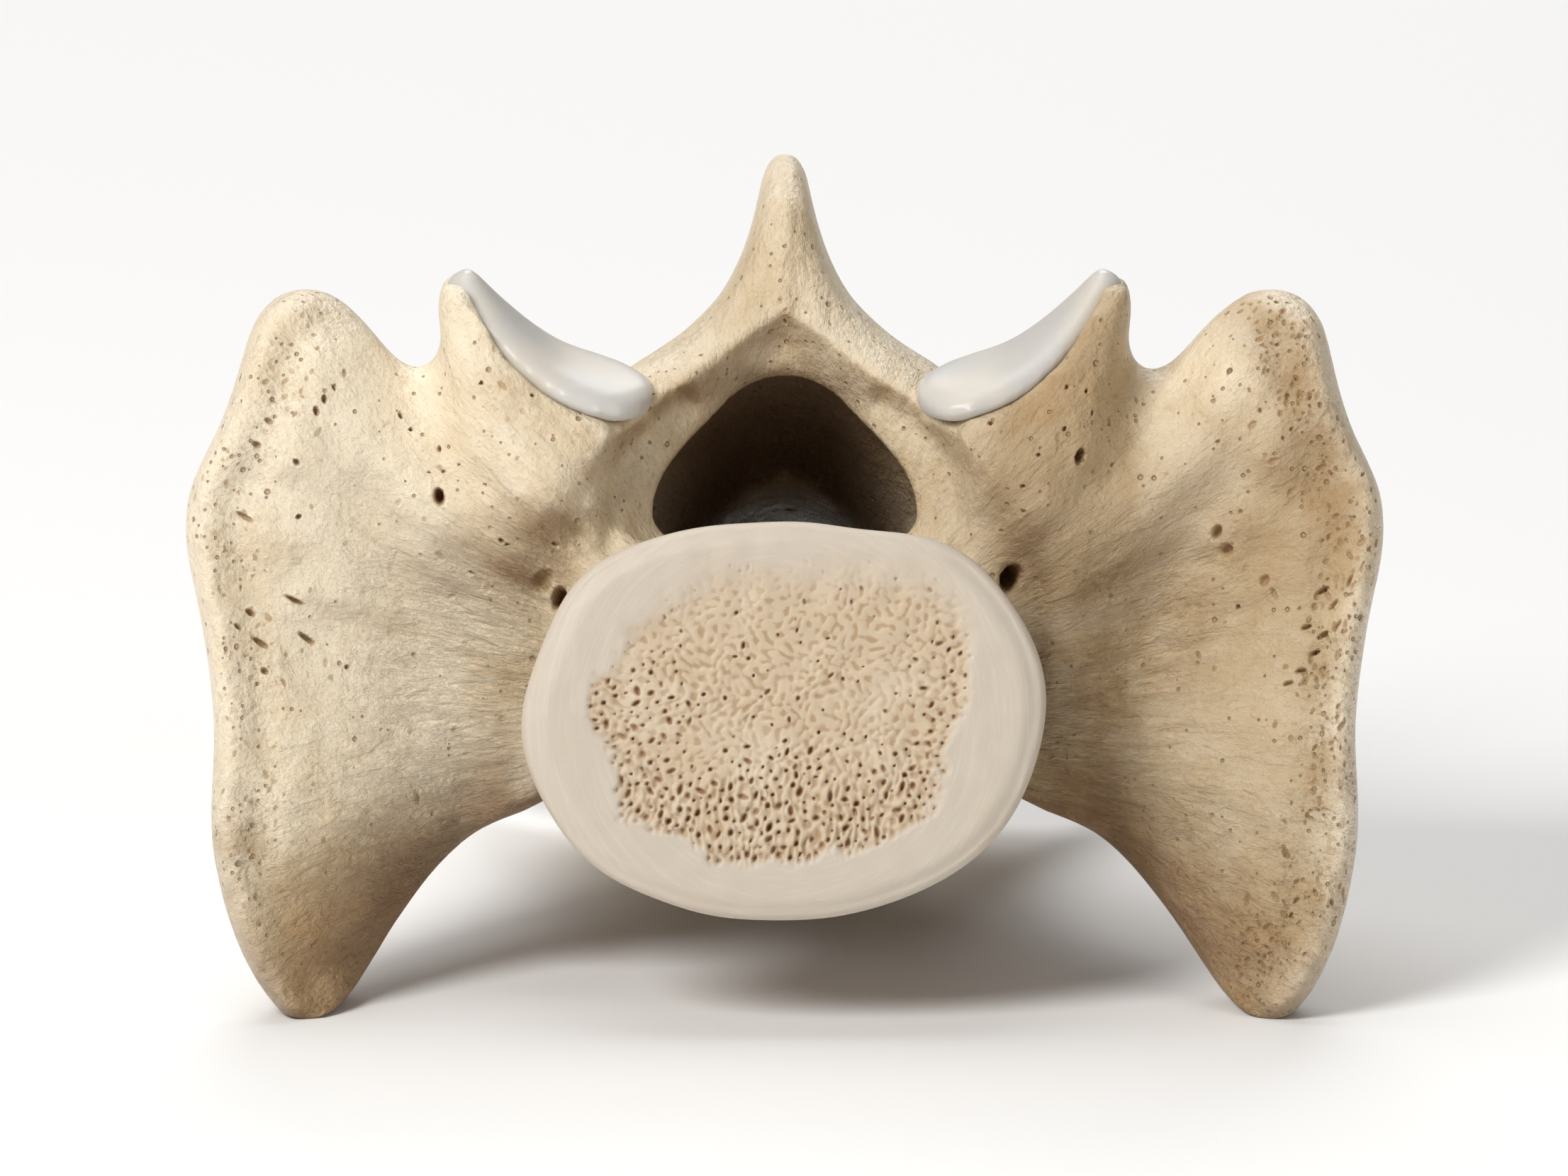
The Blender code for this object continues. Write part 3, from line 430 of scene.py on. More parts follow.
holes = []
for x, z, half_length, half_width, turn, depth in NAMED_HOLES:
    place, outward = find_from_front(x, z)
    if place is not None:
        # Painted shade: dark is how strongly a hole's inside is painted in shade, full for deep holes and less on the
        # animal's right, where the light falls.
        dark = 1.0 if depth > 0.6 else 0.72 if x > 0 else 0.55
        holes.append(Hole(place, outward, half_length, half_width, math.radians(turn), depth, dark))
rng = np.random.default_rng(11)
tries = np.stack([rng.uniform(-30, 30, TRIES), rng.uniform(-15, 22, TRIES)], axis=1)
chance = np.maximum(
    bell(distance_to_line(tries, RIM_SEEN_RIGHT), 1.5, 1.8),
    0.6 * bell(distance_to_line(tries, RIM_SEEN_LEFT), 1.4, 2.2),
)
clumps = lump_noise(np.c_[tries, np.zeros(len(tries))], 2.0, 5)
upper_right = fade(tries[:, 1], 3.0, 8.0) * (tries[:, 0] > 0)
chance = chance * fade(clumps, -0.6, 0.5) * (1 + 0.8 * upper_right) + 0.014
taken = []
for (x, z), likely, draw in zip(tries, chance, rng.uniform(size=len(tries))):
    if draw > 0.8 * likely or len(taken) >= SMALL_HOLES:
        continue
    if taken and np.min(np.hypot(*(np.array(taken) - (x, z)).T)) < SPACING:
        continue
    if np.hypot(x / PLATE_HALF_WIDTH, z / PLATE_HALF_HEIGHT) < 1.0:
        continue
    place, outward = find_from_front(x, z)
    if place is None or -(outward @ FORWARD) < 0.25:
        continue
    taken.append((x, z))
    half_width = 0.075 + 0.11 * rng.uniform() ** 1.6
    half_length = half_width * rng.uniform(1.0, 2.2)
    turn = rng.uniform(0.3, 2.4)
    depth = rng.uniform(0.06, 0.16) * (1.0 if x > 0 else 0.35)
    # Painted shade inside the small pits, less on the animal's right.
    dark = rng.uniform(0.3, 0.75) * (1.0 if x > 0 else 0.6)
    holes.append(Hole(place, outward, half_length, half_width, turn, depth, dark))
print("holes:", len(holes))

# %% [markdown]
# Each hole needs small triangles round it. Edges near a hole that are longer than about a third of its width are
# cut in two, a few times over.

# %% Refine the shell round the holes
REACH = 1.3
FINEST_EDGE = 0.1


def near_holes(points):
    """For each hole, the numbers of the points near it."""
    tree = kdtree.KDTree(len(points))
    for number, point in enumerate(points):
        tree.insert(point, number)
    tree.balance()
    return [[n for _, n, _ in tree.find_range(hole.place, hole.half_length * REACH * MM)] for hole in holes]


carved = bmesh.new()
carved.from_mesh(skin.data)
for _ in range(4):
    carved.verts.ensure_lookup_table()
    close = near_holes([v.co for v in carved.verts])
    longest = {}
    for hole, numbers in zip(holes, close):
        limit = max(hole.half_width * 0.6, FINEST_EDGE) * MM
        for number in numbers:
            longest[number] = min(longest.get(number, 1.0), limit)
    cut = set()
    for number, limit in longest.items():
        for edge in carved.verts[number].link_edges:
            if edge.calc_length() > limit:
                cut.add(edge)
    if not cut:
        break
    carved.edges.index_update()
    bmesh.ops.subdivide_edges(carved, edges=sorted(cut, key=lambda edge: edge.index), cuts=1)
    bmesh.ops.triangulate(carved, faces=[f for f in carved.faces if len(f.verts) > 3])
print("refined shell:", len(carved.faces), "triangles")

# %% [markdown]
# The fused shell has a few flaps with no thickness, where two faces share the same corners. They are taken away
# and the gaps are filled, three times over, and the edges still without two faces are counted.

# %% Take away flaps with no thickness
def twin_faces(build):
    """Faces that lie on another one with the same corners, a flap with no thickness."""
    build.verts.index_update()
    twins = {}
    for face in build.faces:
        twins.setdefault(frozenset(v.index for v in face.verts), []).append(face)
    return [face for same in twins.values() if len(same) > 1 for face in same]


for _ in range(3):
    bmesh.ops.dissolve_degenerate(carved, dist=0.001 * MM, edges=carved.edges)
    crowded = [face for edge in carved.edges if len(edge.link_faces) > 2 for face in edge.link_faces]
    bmesh.ops.delete(carved, geom=list(dict.fromkeys(twin_faces(carved) + crowded)), context="FACES")
    bmesh.ops.holes_fill(carved, edges=[edge for edge in carved.edges if edge.is_boundary])
    bmesh.ops.triangulate(carved, faces=[f for f in carved.faces if len(f.verts) > 3])
    bmesh.ops.delete(carved, geom=twin_faces(carved), context="FACES")
bmesh.ops.recalc_face_normals(carved, faces=carved.faces)
print("edges without two faces:", sum(len(edge.link_faces) != 2 for edge in carved.edges))
carved.to_mesh(skin.data)
carved.free()
print("sound shell:", len(skin.data.polygons), "triangles")

# %% [markdown]
# The points inside each hole are then pushed in along its own direction, and a low lip rises round it. No point
# sinks below the table that the bone lies on.

# %% Push the holes in
TABLE_GAP = 0.02
points = read_points(skin.data)
hole_shade = np.zeros(len(points))
push = np.zeros_like(points)
for hole, numbers in zip(holes, near_holes([Vector(p) for p in points])):
    if not numbers:
        continue
    place, outward, half_length, half_width, turn, depth, dark = hole
    side = Vector((math.cos(turn), 0.0, math.sin(turn)))
    along = (LEAN @ side - outward * (LEAN @ side).dot(outward)).normalized()
    across = outward.cross(along)
    offset = (points[numbers] - np.array(place)) / MM
    q = np.hypot(offset @ np.array(along) / half_length, offset @ np.array(across) / half_width)
    inside = 1.0 - fade(q, 0.35, 1.15)
    lip = 0.06 * half_width * bell(q, 0.25, 1.35)
    inward = np.array(outward if half_length < 0.5 else (outward - FORWARD).normalized())
    push[numbers] += ((lip - depth * inside) * MM)[:, None] * inward
    hole_shade[numbers] = np.maximum(hole_shade[numbers], dark * (1.0 - fade(q, 0.6, 1.1)))
points = points + push
points[:, 2] = np.maximum(points[:, 2], TABLE_GAP * MM)
write_points(skin.data, points)
print("carved deepest:", round(float(np.abs(push).max() / MM), 2), "mm")

# %% [markdown]
# The finish needs to know where it is: how much painted shade darkens each hole and the inside of the tunnel, where
# painted shade darkens the faces that look down, where painted shade and some random stain brown it, where a painted
# brown shade tints the side turned from the light, where tiny pores freckle it, where it is wrinkled, and where
# painted light with some wear pales its rims and upper faces. Each is written down as a number on every point of the
# skin.

# %% Note on each point where the finish changes
skin_points = to_bone(points)
x, y, z = skin_points.T
normals = read_normals(skin.data) @ LEAN_ARRAY
beside = np.abs(x)
front_view = np.c_[beside, z]
to_rim = distance_to_line(front_view, RIM)
to_edge = distance_to_line(front_view, LOWER_EDGE)
patchy = lump_noise(skin_points, 3.0, 41)
speckly = lump_noise(skin_points, 1.3, 42)
rim_band = bell(to_rim, 1.7, 1.9) * fade(beside, 20.0, 23.0)
seen_right = fade(x, 6.0, 14.0)

freckle = 0.09 + 0.85 * rim_band * fade(patchy + 0.5 * speckly, -0.5, 0.4)
freckle += 0.10 * fade(z, 8.0, 13.0) * (1 - fade(beside, 16.0, 22.0)) + 0.10 * fade(speckly, 0.3, 0.8)
freckle *= 1 - 0.45 * fade(-x, 8.0, 14.0)

# Painted shade, with some real stain: the stain note darkens the lower wings, their lower inner edges, the wing roots
# beside the plate, the rim seen on the right, a band under the joint surfaces, the valley and the rise beside the
# plate seen on the right; only the random patches are stain.
painted_shade_and_stain = (0.75 - 0.15 * seen_right) * fade(-z, 3.0, 12.0) * fade(beside, 15.0, 18.0)
painted_shade_and_stain += 0.55 * np.clip(1 - to_edge / 7.0, 0, 1) * fade(beside, 13.0, 15.0)
painted_shade_and_stain += (0.25 + 0.40 * seen_right) * (1 - fade(beside, 12.5, 19.0)) * fade(y, 2.0, 5.0) * (1 - fade(z, 6.0, 11.0))
painted_shade_and_stain += 0.35 * rim_band * fade(patchy, -0.1, 0.7) + 0.22 * fade(patchy, 0.25, 0.8)
painted_shade_and_stain += 0.80 * seen_right * rim_band * fade(z, 3.0, 9.0)
lip_shade = bell(distance_to_line(front_view, LIP), 1.5, 1.2) * (z < 17.5) * (1 - fade(y, 6.0, 9.0))
painted_shade_and_stain += (0.25 + 0.45 * seen_right) * lip_shade
painted_shade_and_stain += (0.15 + 0.55 * seen_right) * stroke(VALLEY, 2.4) * (1 - fade(y, 9.0, 12.0))
painted_shade_and_stain += 0.35 * seen_right * (1 - fade(x, 15.5, 18.5)) * fade(z, 9.0, 12.0)
painted_shade_and_stain *= 1 - 0.65 * fade(-x, 14.0, 18.0) * fade(z, -6.0, 0.0)

# Painted shade: the tint note browns the wing seen on the right, the rise beside the plate's upper right and that
# wing's rim, as if turned from a light on the left, and also the lower wing seen on the left near its edge and the
# middle above the tunnel.
tint = 0.62 * seen_right * (1 - 0.85 * fade(z, 12.0, 18.0)) * fade(to_rim, 0.8, 3.0) * fade(beside, 9.0, 12.0)
tint += 1.2 * seen_right * (1 - fade(x, 15.5, 18.5)) * fade(z, 5.0, 9.0)
tint += 0.40 * seen_right * rim_band * fade(z, 3.0, 9.0)
tint += 1.1 * fade(-x, 14.0, 17.0) * fade(-z, 2.0, 8.0) * (1 - fade(to_edge, 3.5, 8.5))
tint += 0.30 * (1 - fade(beside, 4.0, 9.0)) * fade(z, 14.0, 18.0) * (1 - fade(y, 12.0, 20.0))

# Painted shade: the under note darkens faces that look down and the lower inner edges of the wings, more on the side
# seen on the left.
painted_under_shade = 0.8 * fade(-normals[:, 2], 0.15, 0.8) * (1 - fade(y, 22.0, 40.0)) * fade(y, 1.5, 4.0)
edge_shade = np.clip(1 - to_edge / 5.0, 0, 1) ** 1.2
painted_under_shade += 0.80 * edge_shade * fade(beside, 12.5, 14.5) * (1 - 0.7 * fade(-z, 11.0, 15.0))
painted_under_shade *= 1 + 0.4 * fade(-x, 0.0, 6.0)

# Painted light, with some wear: the pale note lightens the lower wing seen on the left, the rims and the upward faces
# of the top.
painted_light_and_wear = 0.55 * fade(-x, 13.0, 18.0) * fade(z, -9.0, -2.0)
painted_light_and_wear += bell(to_rim, 1.1) * (0.7 + 0.3 * speckly)
painted_light_and_wear += 0.5 * fade(normals[:, 2], 0.3, 0.9) * fade(z, 12.0, 18.0)

_, span, looks_in = round_tunnel(skin_points, normals)
mouth, sides = mouth_edge(x)
# Painted shade: the tunnel note darkens the tunnel's inside behind its mouth, less on its sides.
in_tunnel = fade(looks_in, 0.0, 0.3) * (span < 9.6) * (z > 4.5 - 0.15 * y) * (1 - 0.8 * fade(y, 34.0, 45.0))
shade = 0.08 * fade(y, mouth - 2.2, mouth)
shade += 0.85 * fade(y, mouth + 0.1 + 0.9 * sides, mouth + 0.9 + 1.2 * sides)
dim = in_tunnel * shade
dim *= 1 - 0.65 * fade(beside, 3.0, 7.5) * (1 - fade(y, 18.0, 26.0))

wrinkle = (1 - fade(beside, 15.0, 24.0)) * fade(beside, 10.0, 13.0) * (1 - fade(z, 7.0, 12.0))
wrinkle += 0.6 * fade(-z, 0.0, 6.0) * fade(beside, 14.0, 17.0)
NOTES = {
    "hole": hole_shade,
    "painted_under_shade": painted_under_shade,
    "tint": tint,
    "wrinkle": wrinkle,
    "freckle": freckle,
    "painted_shade_and_stain": painted_shade_and_stain,
    "painted_light_and_wear": painted_light_and_wear,
    "tunnel": dim,
}
for name, values in NOTES.items():
    note(skin.data, name, np.clip(values, 0.0, 1.0))
skin.data.shade_smooth()
print("means:", {name: round(float(np.mean(values)), 2) for name, values in NOTES.items()})

# %% [markdown]
# ## The front plate
# The face that met the last back vertebra is an oval: a smooth, pale ring with a spongy field inside, full of
# worm-like ridges and pores. A square grid is bent into the oval, so its points lie close together where the
# pores are, and the ridges come from noise of one wavelength, which makes worms of even width.

# %% Bend a grid into the oval plate
RING_RADII = [
    13.0, 13.1, 12.7, 12.15, 10.9, 10.1, 9.97, 10.2, 10.9, 11.9, 12.6, 12.75,
    13.15, 12.85, 12.3, 11.5, 10.7, 10.2, 9.95, 10.1, 10.5, 11.2, 12.0, 12.55,
]
FIELD_RADII = [
    9.1, 9.9, 10.7, 10.6, 9.5, 8.7, 8.4, 8.8, 9.1, 8.8, 9.2, 9.6,
    9.9, 8.8, 9.4, 8.0, 7.8, 7.5, 7.2, 7.0, 7.5, 8.2, 8.8, 8.3,
]
COLUMNS, ROWS = 320, 250
EDGE_ROLL = 0.35


def round_the_clock(angles, radii):
    """A smooth closed outline through radii that are evenly spaced in angle."""
    spectrum = np.fft.rfft(radii) / len(radii)
    total = np.full(np.shape(angles), spectrum[0].real)
    for k in range(1, len(spectrum)):
        share = 1.0 if 2 * k == len(radii) else 2.0
        total = total + share * (spectrum[k] * np.exp(1j * k * angles)).real
    return total


plate_mesh = bpy.data.meshes.new("front_plate")
plate_build = bmesh.new()
bmesh.ops.create_grid(plate_build, x_segments=COLUMNS, y_segments=ROWS, size=1.0)
grid_count = len(plate_build.verts)
border = [e for e in plate_build.edges if e.is_boundary]
RIM_LAYERS = 7
for _ in range(RIM_LAYERS):
    grown = bmesh.ops.extrude_edge_only(plate_build, edges=border)["geom"]
    border = [g for g in grown if isinstance(g, bmesh.types.BMEdge) and g.is_boundary]
plate_build.to_mesh(plate_mesh)
plate_build.free()
square = read_points(plate_mesh)
layer = np.zeros(len(square))
layer[grid_count:] = 1 + np.arange(len(square) - grid_count) // (2 * (COLUMNS + ROWS))
u, v = square[:, 0], square[:, 1]
disc_x, disc_z = u * np.sqrt(1 - v * v / 2), v * np.sqrt(1 - u * u / 2)
disc = np.hypot(disc_x, disc_z)
angle = np.arctan2(disc_z * 9.9, disc_x * 13.2)
reach = disc * (0.65 + 0.35 * disc**3)
radius = reach * (round_the_clock(angle, RING_RADII) - EDGE_ROLL)
plate_x, plate_z = radius * np.cos(angle), radius * np.sin(angle)
print("plate points:", len(square), "rim layers:", int(layer.max()))

# %% [markdown]
# The worms and pores are worked out on a fine square of numbers laid over the plate. Noise passed through a
# filter that keeps one wavelength gives the worms. The pores are scattered so that no two touch, thickly in the
# lower third and on the left, thinly above, and each is an oval turned its own way.

# %% Worms and pores of the spongy field
SHEET, CELL = 640, 0.045
sheet_x, sheet_z = np.meshgrid((np.arange(SHEET) - SHEET / 2) * CELL, (np.arange(SHEET) - SHEET / 2) * CELL)
sheet_points = np.c_[sheet_x.ravel(), sheet_z.ravel(), np.zeros(sheet_x.size)]


def worms(wavelength, seed, stretch):
    white = np.random.default_rng(seed).standard_normal((SHEET, SHEET))
    f = np.fft.fftfreq(SHEET, d=CELL)
    fx, fz = np.meshgrid(f, f)
    waves = np.hypot(fx / stretch, fz * stretch) * wavelength
    kept = np.fft.ifft2(np.fft.fft2(white) * bell(waves, 0.42, 1.0)).real
    return kept / kept.std()


def read_sheet(sheet, x, z):
    """The sheet's value at x, z, mixed from the four cells round it."""
    i, j = x / CELL + SHEET / 2, z / CELL + SHEET / 2
    i0, j0 = np.floor(i).astype(int), np.floor(j).astype(int)
    s, t = i - i0, j - j0
    near = sheet[j0, i0] * (1 - s) + sheet[j0, i0 + 1] * s
    far = sheet[j0 + 1, i0] * (1 - s) + sheet[j0 + 1, i0 + 1] * s
    return near * (1 - t) + far * t


def sheet_noise(size, seed):
    return lump_noise(sheet_points, size, seed).reshape(SHEET, SHEET)


sheet_angle = np.arctan2(sheet_z, sheet_x)
ragged = sheet_noise(1.2, 21) * 0.34 + sheet_noise(0.5, 22) * 0.26
inset = round_the_clock(sheet_angle, FIELD_RADII) + ragged - np.hypot(sheet_x, sheet_z)
low = fade(-sheet_z + 1.2 * sheet_noise(2.5, 23), -0.5, 4.5)
left = fade(-sheet_x, 3.0, 8.0) * fade(-sheet_z, -4.5, 0.0)
right = 0.6 * fade(sheet_x, 5.0, 8.5) * fade(-sheet_z, -7.0, 1.0)
thick = np.maximum(np.maximum(low, left), right)
edge_width = 0.5 + 2.4 * fade(sheet_z, 2.5, 7.5)
field = fade(inset, -0.3 * edge_width, edge_width)
SHEET_EDGE = 14.0
bent_x = np.clip(sheet_x + 0.28 * sheet_noise(1.3, 24), -SHEET_EDGE, SHEET_EDGE)
bent_z = np.clip(sheet_z + 0.28 * sheet_noise(1.3, 25), -SHEET_EDGE, SHEET_EDGE)
round_worms = read_sheet(worms(0.58, 3, 1.0) + 0.5 * worms(0.40, 13, 1.0), bent_x, bent_z)
tall_worms = read_sheet(worms(0.62, 4, 1.35) + 0.5 * worms(0.42, 14, 1.3), bent_x, bent_z)
worm = np.tanh(0.9 * (round_worms * (1 - low) + tall_worms * low))
vigour = 0.30 + 0.70 * fade(sheet_noise(1.8, 26) + 1.2 * low - 0.3, -0.6, 0.8)
coarse = worms(2.2, 6, 1.0)
crowding = sheet_noise(1.4, 27)
print("worms between", round(float(worm.min()), 2), "and", round(float(worm.max()), 2))

# %% Scatter the pores
PORE_TRIES, WINDOW = 30000, 16
pore_rng = np.random.default_rng(8)
pore_tries = np.stack([pore_rng.uniform(-10.5, 10.5, PORE_TRIES), pore_rng.uniform(-8.2, 9.0, PORE_TRIES)], axis=1)
pore_draws = pore_rng.uniform(size=(PORE_TRIES, 4))
pore_turns = pore_rng.normal(0.0, 0.8, PORE_TRIES)
pit = np.zeros((SHEET, SHEET))
lip = np.zeros((SHEET, SHEET))
placed = []
for (x, z), (luck, broad, drawn_out, deep), turn in zip(pore_tries, pore_draws, pore_turns):
    i, j = int(x / CELL + SHEET / 2), int(z / CELL + SHEET / 2)
    room = thick[j, i]
    likely = 0.012 + 0.30 * room**1.5 * (1 + crowding[j, i])
    if inset[j, i] < 0.1 or luck > likely or worm[j, i] > 0.3 + 0.5 * deep:
        continue
    if placed and np.min(np.hypot(*(np.array(placed) - (x, z)).T)) < 0.34 + 0.16 * deep:
        continue
    placed.append((x, z))
    half_width = (0.072 + 0.085 * broad**1.3) * (0.68 + 0.32 * room)
    half_length = half_width * (1.0 + 1.2 * drawn_out**2)
    window = (slice(j - WINDOW, j + WINDOW), slice(i - WINDOW, i + WINDOW))
    dx, dz = sheet_x[window] - x, sheet_z[window] - z
    across = (dx * math.cos(turn) + dz * math.sin(turn)) / half_width
    along = (dz * math.cos(turn) - dx * math.sin(turn)) / half_length
    q = np.hypot(across, along)
    pit[window] = np.maximum(pit[window], (0.65 + 0.35 * deep) * (1.0 - fade(q, 0.5, 1.25)))
    lip[window] = np.maximum(lip[window], bell(q, 0.35, 1.55))
print("pores:", len(placed))

# %% [markdown]
# The plate's points are then set in place: the ring swells a little, the field lies a little lower with its
# worms raised and its pores sunk, and the border rolls over into a rounded edge that runs back into the bone.

# %% Shape the plate
PLATE_DEPTH, FIELD_DEPTH, PORE_DEPTH = 2.3, 0.20, 0.27
WORM_HEIGHT, PORE_LIP = 0.125, 0.035
READ_EDGE = 13.8
safe_x, safe_z = np.clip(plate_x, -READ_EDGE, READ_EDGE), np.clip(plate_z, -READ_EDGE, READ_EDGE)
in_field = read_sheet(field, safe_x, safe_z)
in_pit = read_sheet(pit, safe_x, safe_z)
worm_height = read_sheet(worm, safe_x, safe_z)
swell = read_sheet(coarse, safe_x, safe_z)
raised = WORM_HEIGHT * worm_height * read_sheet(vigour, safe_x, safe_z)
raised = raised * (0.55 + 0.45 * read_sheet(thick, safe_x, safe_z)) + 0.03 * swell
raised += PORE_LIP * read_sheet(lip, safe_x, safe_z)
depth = (
    0.25
    + FIELD_DEPTH * in_field
    - in_field * raised
    + PORE_DEPTH * in_pit * in_field
    + 0.35 * fade(reach, 0.9, 1.0) ** 2
    - 0.012 * swell * (1 - in_field)
)
roll = layer / RIM_LAYERS
out = EDGE_ROLL * np.sin(np.clip(roll * 2.2, 0, 1) * math.pi / 2) - 0.9 * fade(roll, 0.6, 1.0)
edge_depth = 0.6 + (PLATE_DEPTH - 0.6) * np.clip(roll, 0, 1) ** 1.3
on_rim = layer > 0
out = np.where(on_rim, out, 0)
plate_y = np.where(on_rim, edge_depth, depth)
write_points(plate_mesh, to_scene(np.c_[plate_x + out * np.cos(angle), plate_y, plate_z + out * np.sin(angle)]))
plate_close = bmesh.new()
plate_close.from_mesh(plate_mesh)
bmesh.ops.holes_fill(plate_close, edges=[e for e in plate_close.edges if e.is_boundary])
bmesh.ops.recalc_face_normals(plate_close, faces=plate_close.faces)
plate_close.to_mesh(plate_mesh)
plate_close.free()
plate = bpy.data.objects.new("front_plate", plate_mesh)
bpy.context.scene.collection.objects.link(plate)
note(plate_mesh, "field", in_field)
note(plate_mesh, "hole", in_pit * in_field)
note(plate_mesh, "worm", worm_height * in_field)
plate_mesh.shade_smooth()
print("plate triangles:", sum(len(p.vertices) - 2 for p in plate_mesh.polygons))

# %% [markdown]
# ## Cartilage on the joint surfaces
# The two small joint surfaces keep their cartilage, a smooth, milky, warm-grey skin with a rounded edge. Each solid
# is copied, swelled a little, remeshed finely and smoothed, which rounds its edge.

# %% Smooth the cartilage
CARTILAGE_SWELL = 0.40
cartilage = []
for node in FACETS:
    build = solid_copy(node)
    for vertex in build.verts:
        vertex.co += vertex.normal * CARTILAGE_SWELL * MM
    mesh = bpy.data.meshes.new("cartilage_" + node)
    build.to_mesh(mesh)
    build.free()
    cover = bpy.data.objects.new("cartilage_" + node.split("_")[1], mesh)
    bpy.context.scene.collection.objects.link(cover)
    apply(cover, "REMESH", mode="VOXEL", voxel_size=0.34 * MM)
    apply(cover, "SMOOTH", factor=0.5, iterations=22)
    apply(cover, "SUBSURF", levels=2, render_levels=2)
    cover.data.shade_smooth()
    cartilage.append(cover)
print("cartilage faces:", [len(c.data.polygons) for c in cartilage])

# %% [markdown]
# ## Materials
# All the finishes are worked out from the bone's own directions. A mapping turns the scene's metres back into
# the bone's millimetres, and the same short helper adds and wires each node.

# %% Helpers for materials


def new_material(name):
    made = bpy.data.materials.new(name)
    made.use_nodes = True
    made.node_tree.nodes.clear()
    return made


def add(tree, kind, inputs=None, **settings):
    node = tree.nodes.new("ShaderNode" + kind)
    for key, value in settings.items():
        setattr(node, key, value)
    for key, value in (inputs or {}).items():
        if isinstance(value, bpy.types.NodeSocket):
            tree.links.new(value, node.inputs[key])
        else:
            node.inputs[key].default_value = value
    return node


def calc(tree, operation, a, b=None, c=None):
    given = {k: w for k, w in enumerate((a, b, c)) if w is not None}
    return add(tree, "Math", given, operation=operation).outputs[0]


def times(tree, a, b):
    return calc(tree, "MULTIPLY", a, b)


def between(tree, value, low, high):
    """0 below low, 1 above high and smooth in between."""
    node = add(tree, "MapRange", {"Value": value, "From Min": low, "From Max": high}, interpolation_type="SMOOTHSTEP")
    return node.outputs["Result"]


def blend(tree, share, first, second):
    node = add(tree, "Mix", data_type="RGBA")
    for socket, value in (("Factor_Float", share), ("A_Color", first), ("B_Color", second)):
        target = next(i for i in node.inputs if i.identifier == socket)
        if isinstance(value, bpy.types.NodeSocket):
            tree.links.new(value, target)
        else:
            target.default_value = value
    return next(o for o in node.outputs if o.identifier == "Result_Color")


def bone_space(tree):
    """The point in the bone's own millimetres, and its x, y and z."""
    turn = Matrix.Rotation(TILT, 3, "X")
    place = add(
        tree,
        "Mapping",
        {
            "Vector": add(tree, "TexCoord").outputs["Object"],
            "Location": -(turn @ FRONT_CENTRE),
            "Rotation": (TILT, 0.0, 0.0),
            "Scale": (1 / MM, 1 / MM, 1 / MM),
        },
    ).outputs[0]
    axes = add(tree, "SeparateXYZ", {"Vector": place}).outputs
    return place, axes["X"], axes["Y"], axes["Z"]


def round_middle(tree, x, z):
    """The angle round the bone's middle line and the distance from it."""
    squares = calc(tree, "ADD", times(tree, x, x), times(tree, z, z))
    return calc(tree, "ARCTAN2", x, z), calc(tree, "SQRT", squares)


def noise(tree, vector, scale, detail=3.0, roughness=0.5, distortion=0.0):
    inputs = {"Vector": vector, "Scale": scale, "Detail": detail, "Roughness": roughness, "Distortion": distortion}
    return add(tree, "TexNoise", inputs).outputs["Fac"]


def attribute(tree, name):
    return add(tree, "Attribute", attribute_name=name).outputs["Fac"]


def finish_material(tree, settings, colour, roughness, height, strength, distance):
    shader = add(tree, "BsdfPrincipled", settings)
    tree.links.new(colour, shader.inputs["Base Color"])
    tree.links.new(roughness, shader.inputs["Roughness"])
    bump = add(tree, "Bump", {"Height": height, "Strength": strength, "Distance": distance})
    tree.links.new(bump.outputs[0], shader.inputs["Normal"])
    output = add(tree, "OutputMaterial")
    tree.links.new(shader.outputs[0], output.inputs["Surface"])
    return shader


print("material helpers ready")

# %% [markdown]
# ## Dry bone
# Bone is laid down in fine fibres that fan out from the middle into the wings, so the grain is noise that is
# stretched outwards: its coordinates are the angle round the spine, the distance from it and the length.
# Its colour wanders between ivory and straw. Painted shade browns it near the middle, on the lower wings, on the side
# seen on the right, where it looks down, in its pits, grooves and troughs and inside the tunnel, and painted light
# with some wear makes its rims and upper faces paler.

# %% Build the bone's finish
IVORY = (0.84, 0.725, 0.54, 1.0)
STRAW = (0.70, 0.555, 0.36, 1.0)
CHALK = (0.88, 0.79, 0.635, 1.0)
TAN = (0.41, 0.262, 0.122, 1.0)
# Painted shade: the earth, umber and olive tones and the pore and hole browns only ever paint shade into the colour.
SHADE_EARTH = (0.25, 0.142, 0.066, 1.0)
TUNNEL_SHADE_UMBER = (0.075, 0.036, 0.018, 1.0)
SHADE_OLIVE = (0.42, 0.300, 0.165, 1.0)
PORE_SHADE_BROWN = (0.40, 0.245, 0.12, 1.0)
HOLE_SHADE_BROWN = (0.34, 0.195, 0.092, 1.0)
bone = new_material("dry_bone")
t = bone.node_tree
place, x, y, z = bone_space(t)
round_spine, from_spine = round_middle(t, x, z)
stretched = {"X": times(t, round_spine, 24.0), "Y": times(t, from_spine, 0.34), "Z": times(t, y, 0.5)}
grain_space = add(t, "CombineXYZ", stretched).outputs[0]
grain = noise(t, grain_space, 1.1, 5.0, 0.62, 0.9)
fine_grain = noise(t, grain_space, 3.4, 4.0, 0.65, 0.5)
clouds = noise(t, place, 0.14, 4.0, 0.55)
blots = noise(t, place, 0.5, 5.0, 0.62)
specks = noise(t, place, 2.4, 4.0, 0.6)
crumbs = noise(t, place, 5.5, 2.0, 0.5)


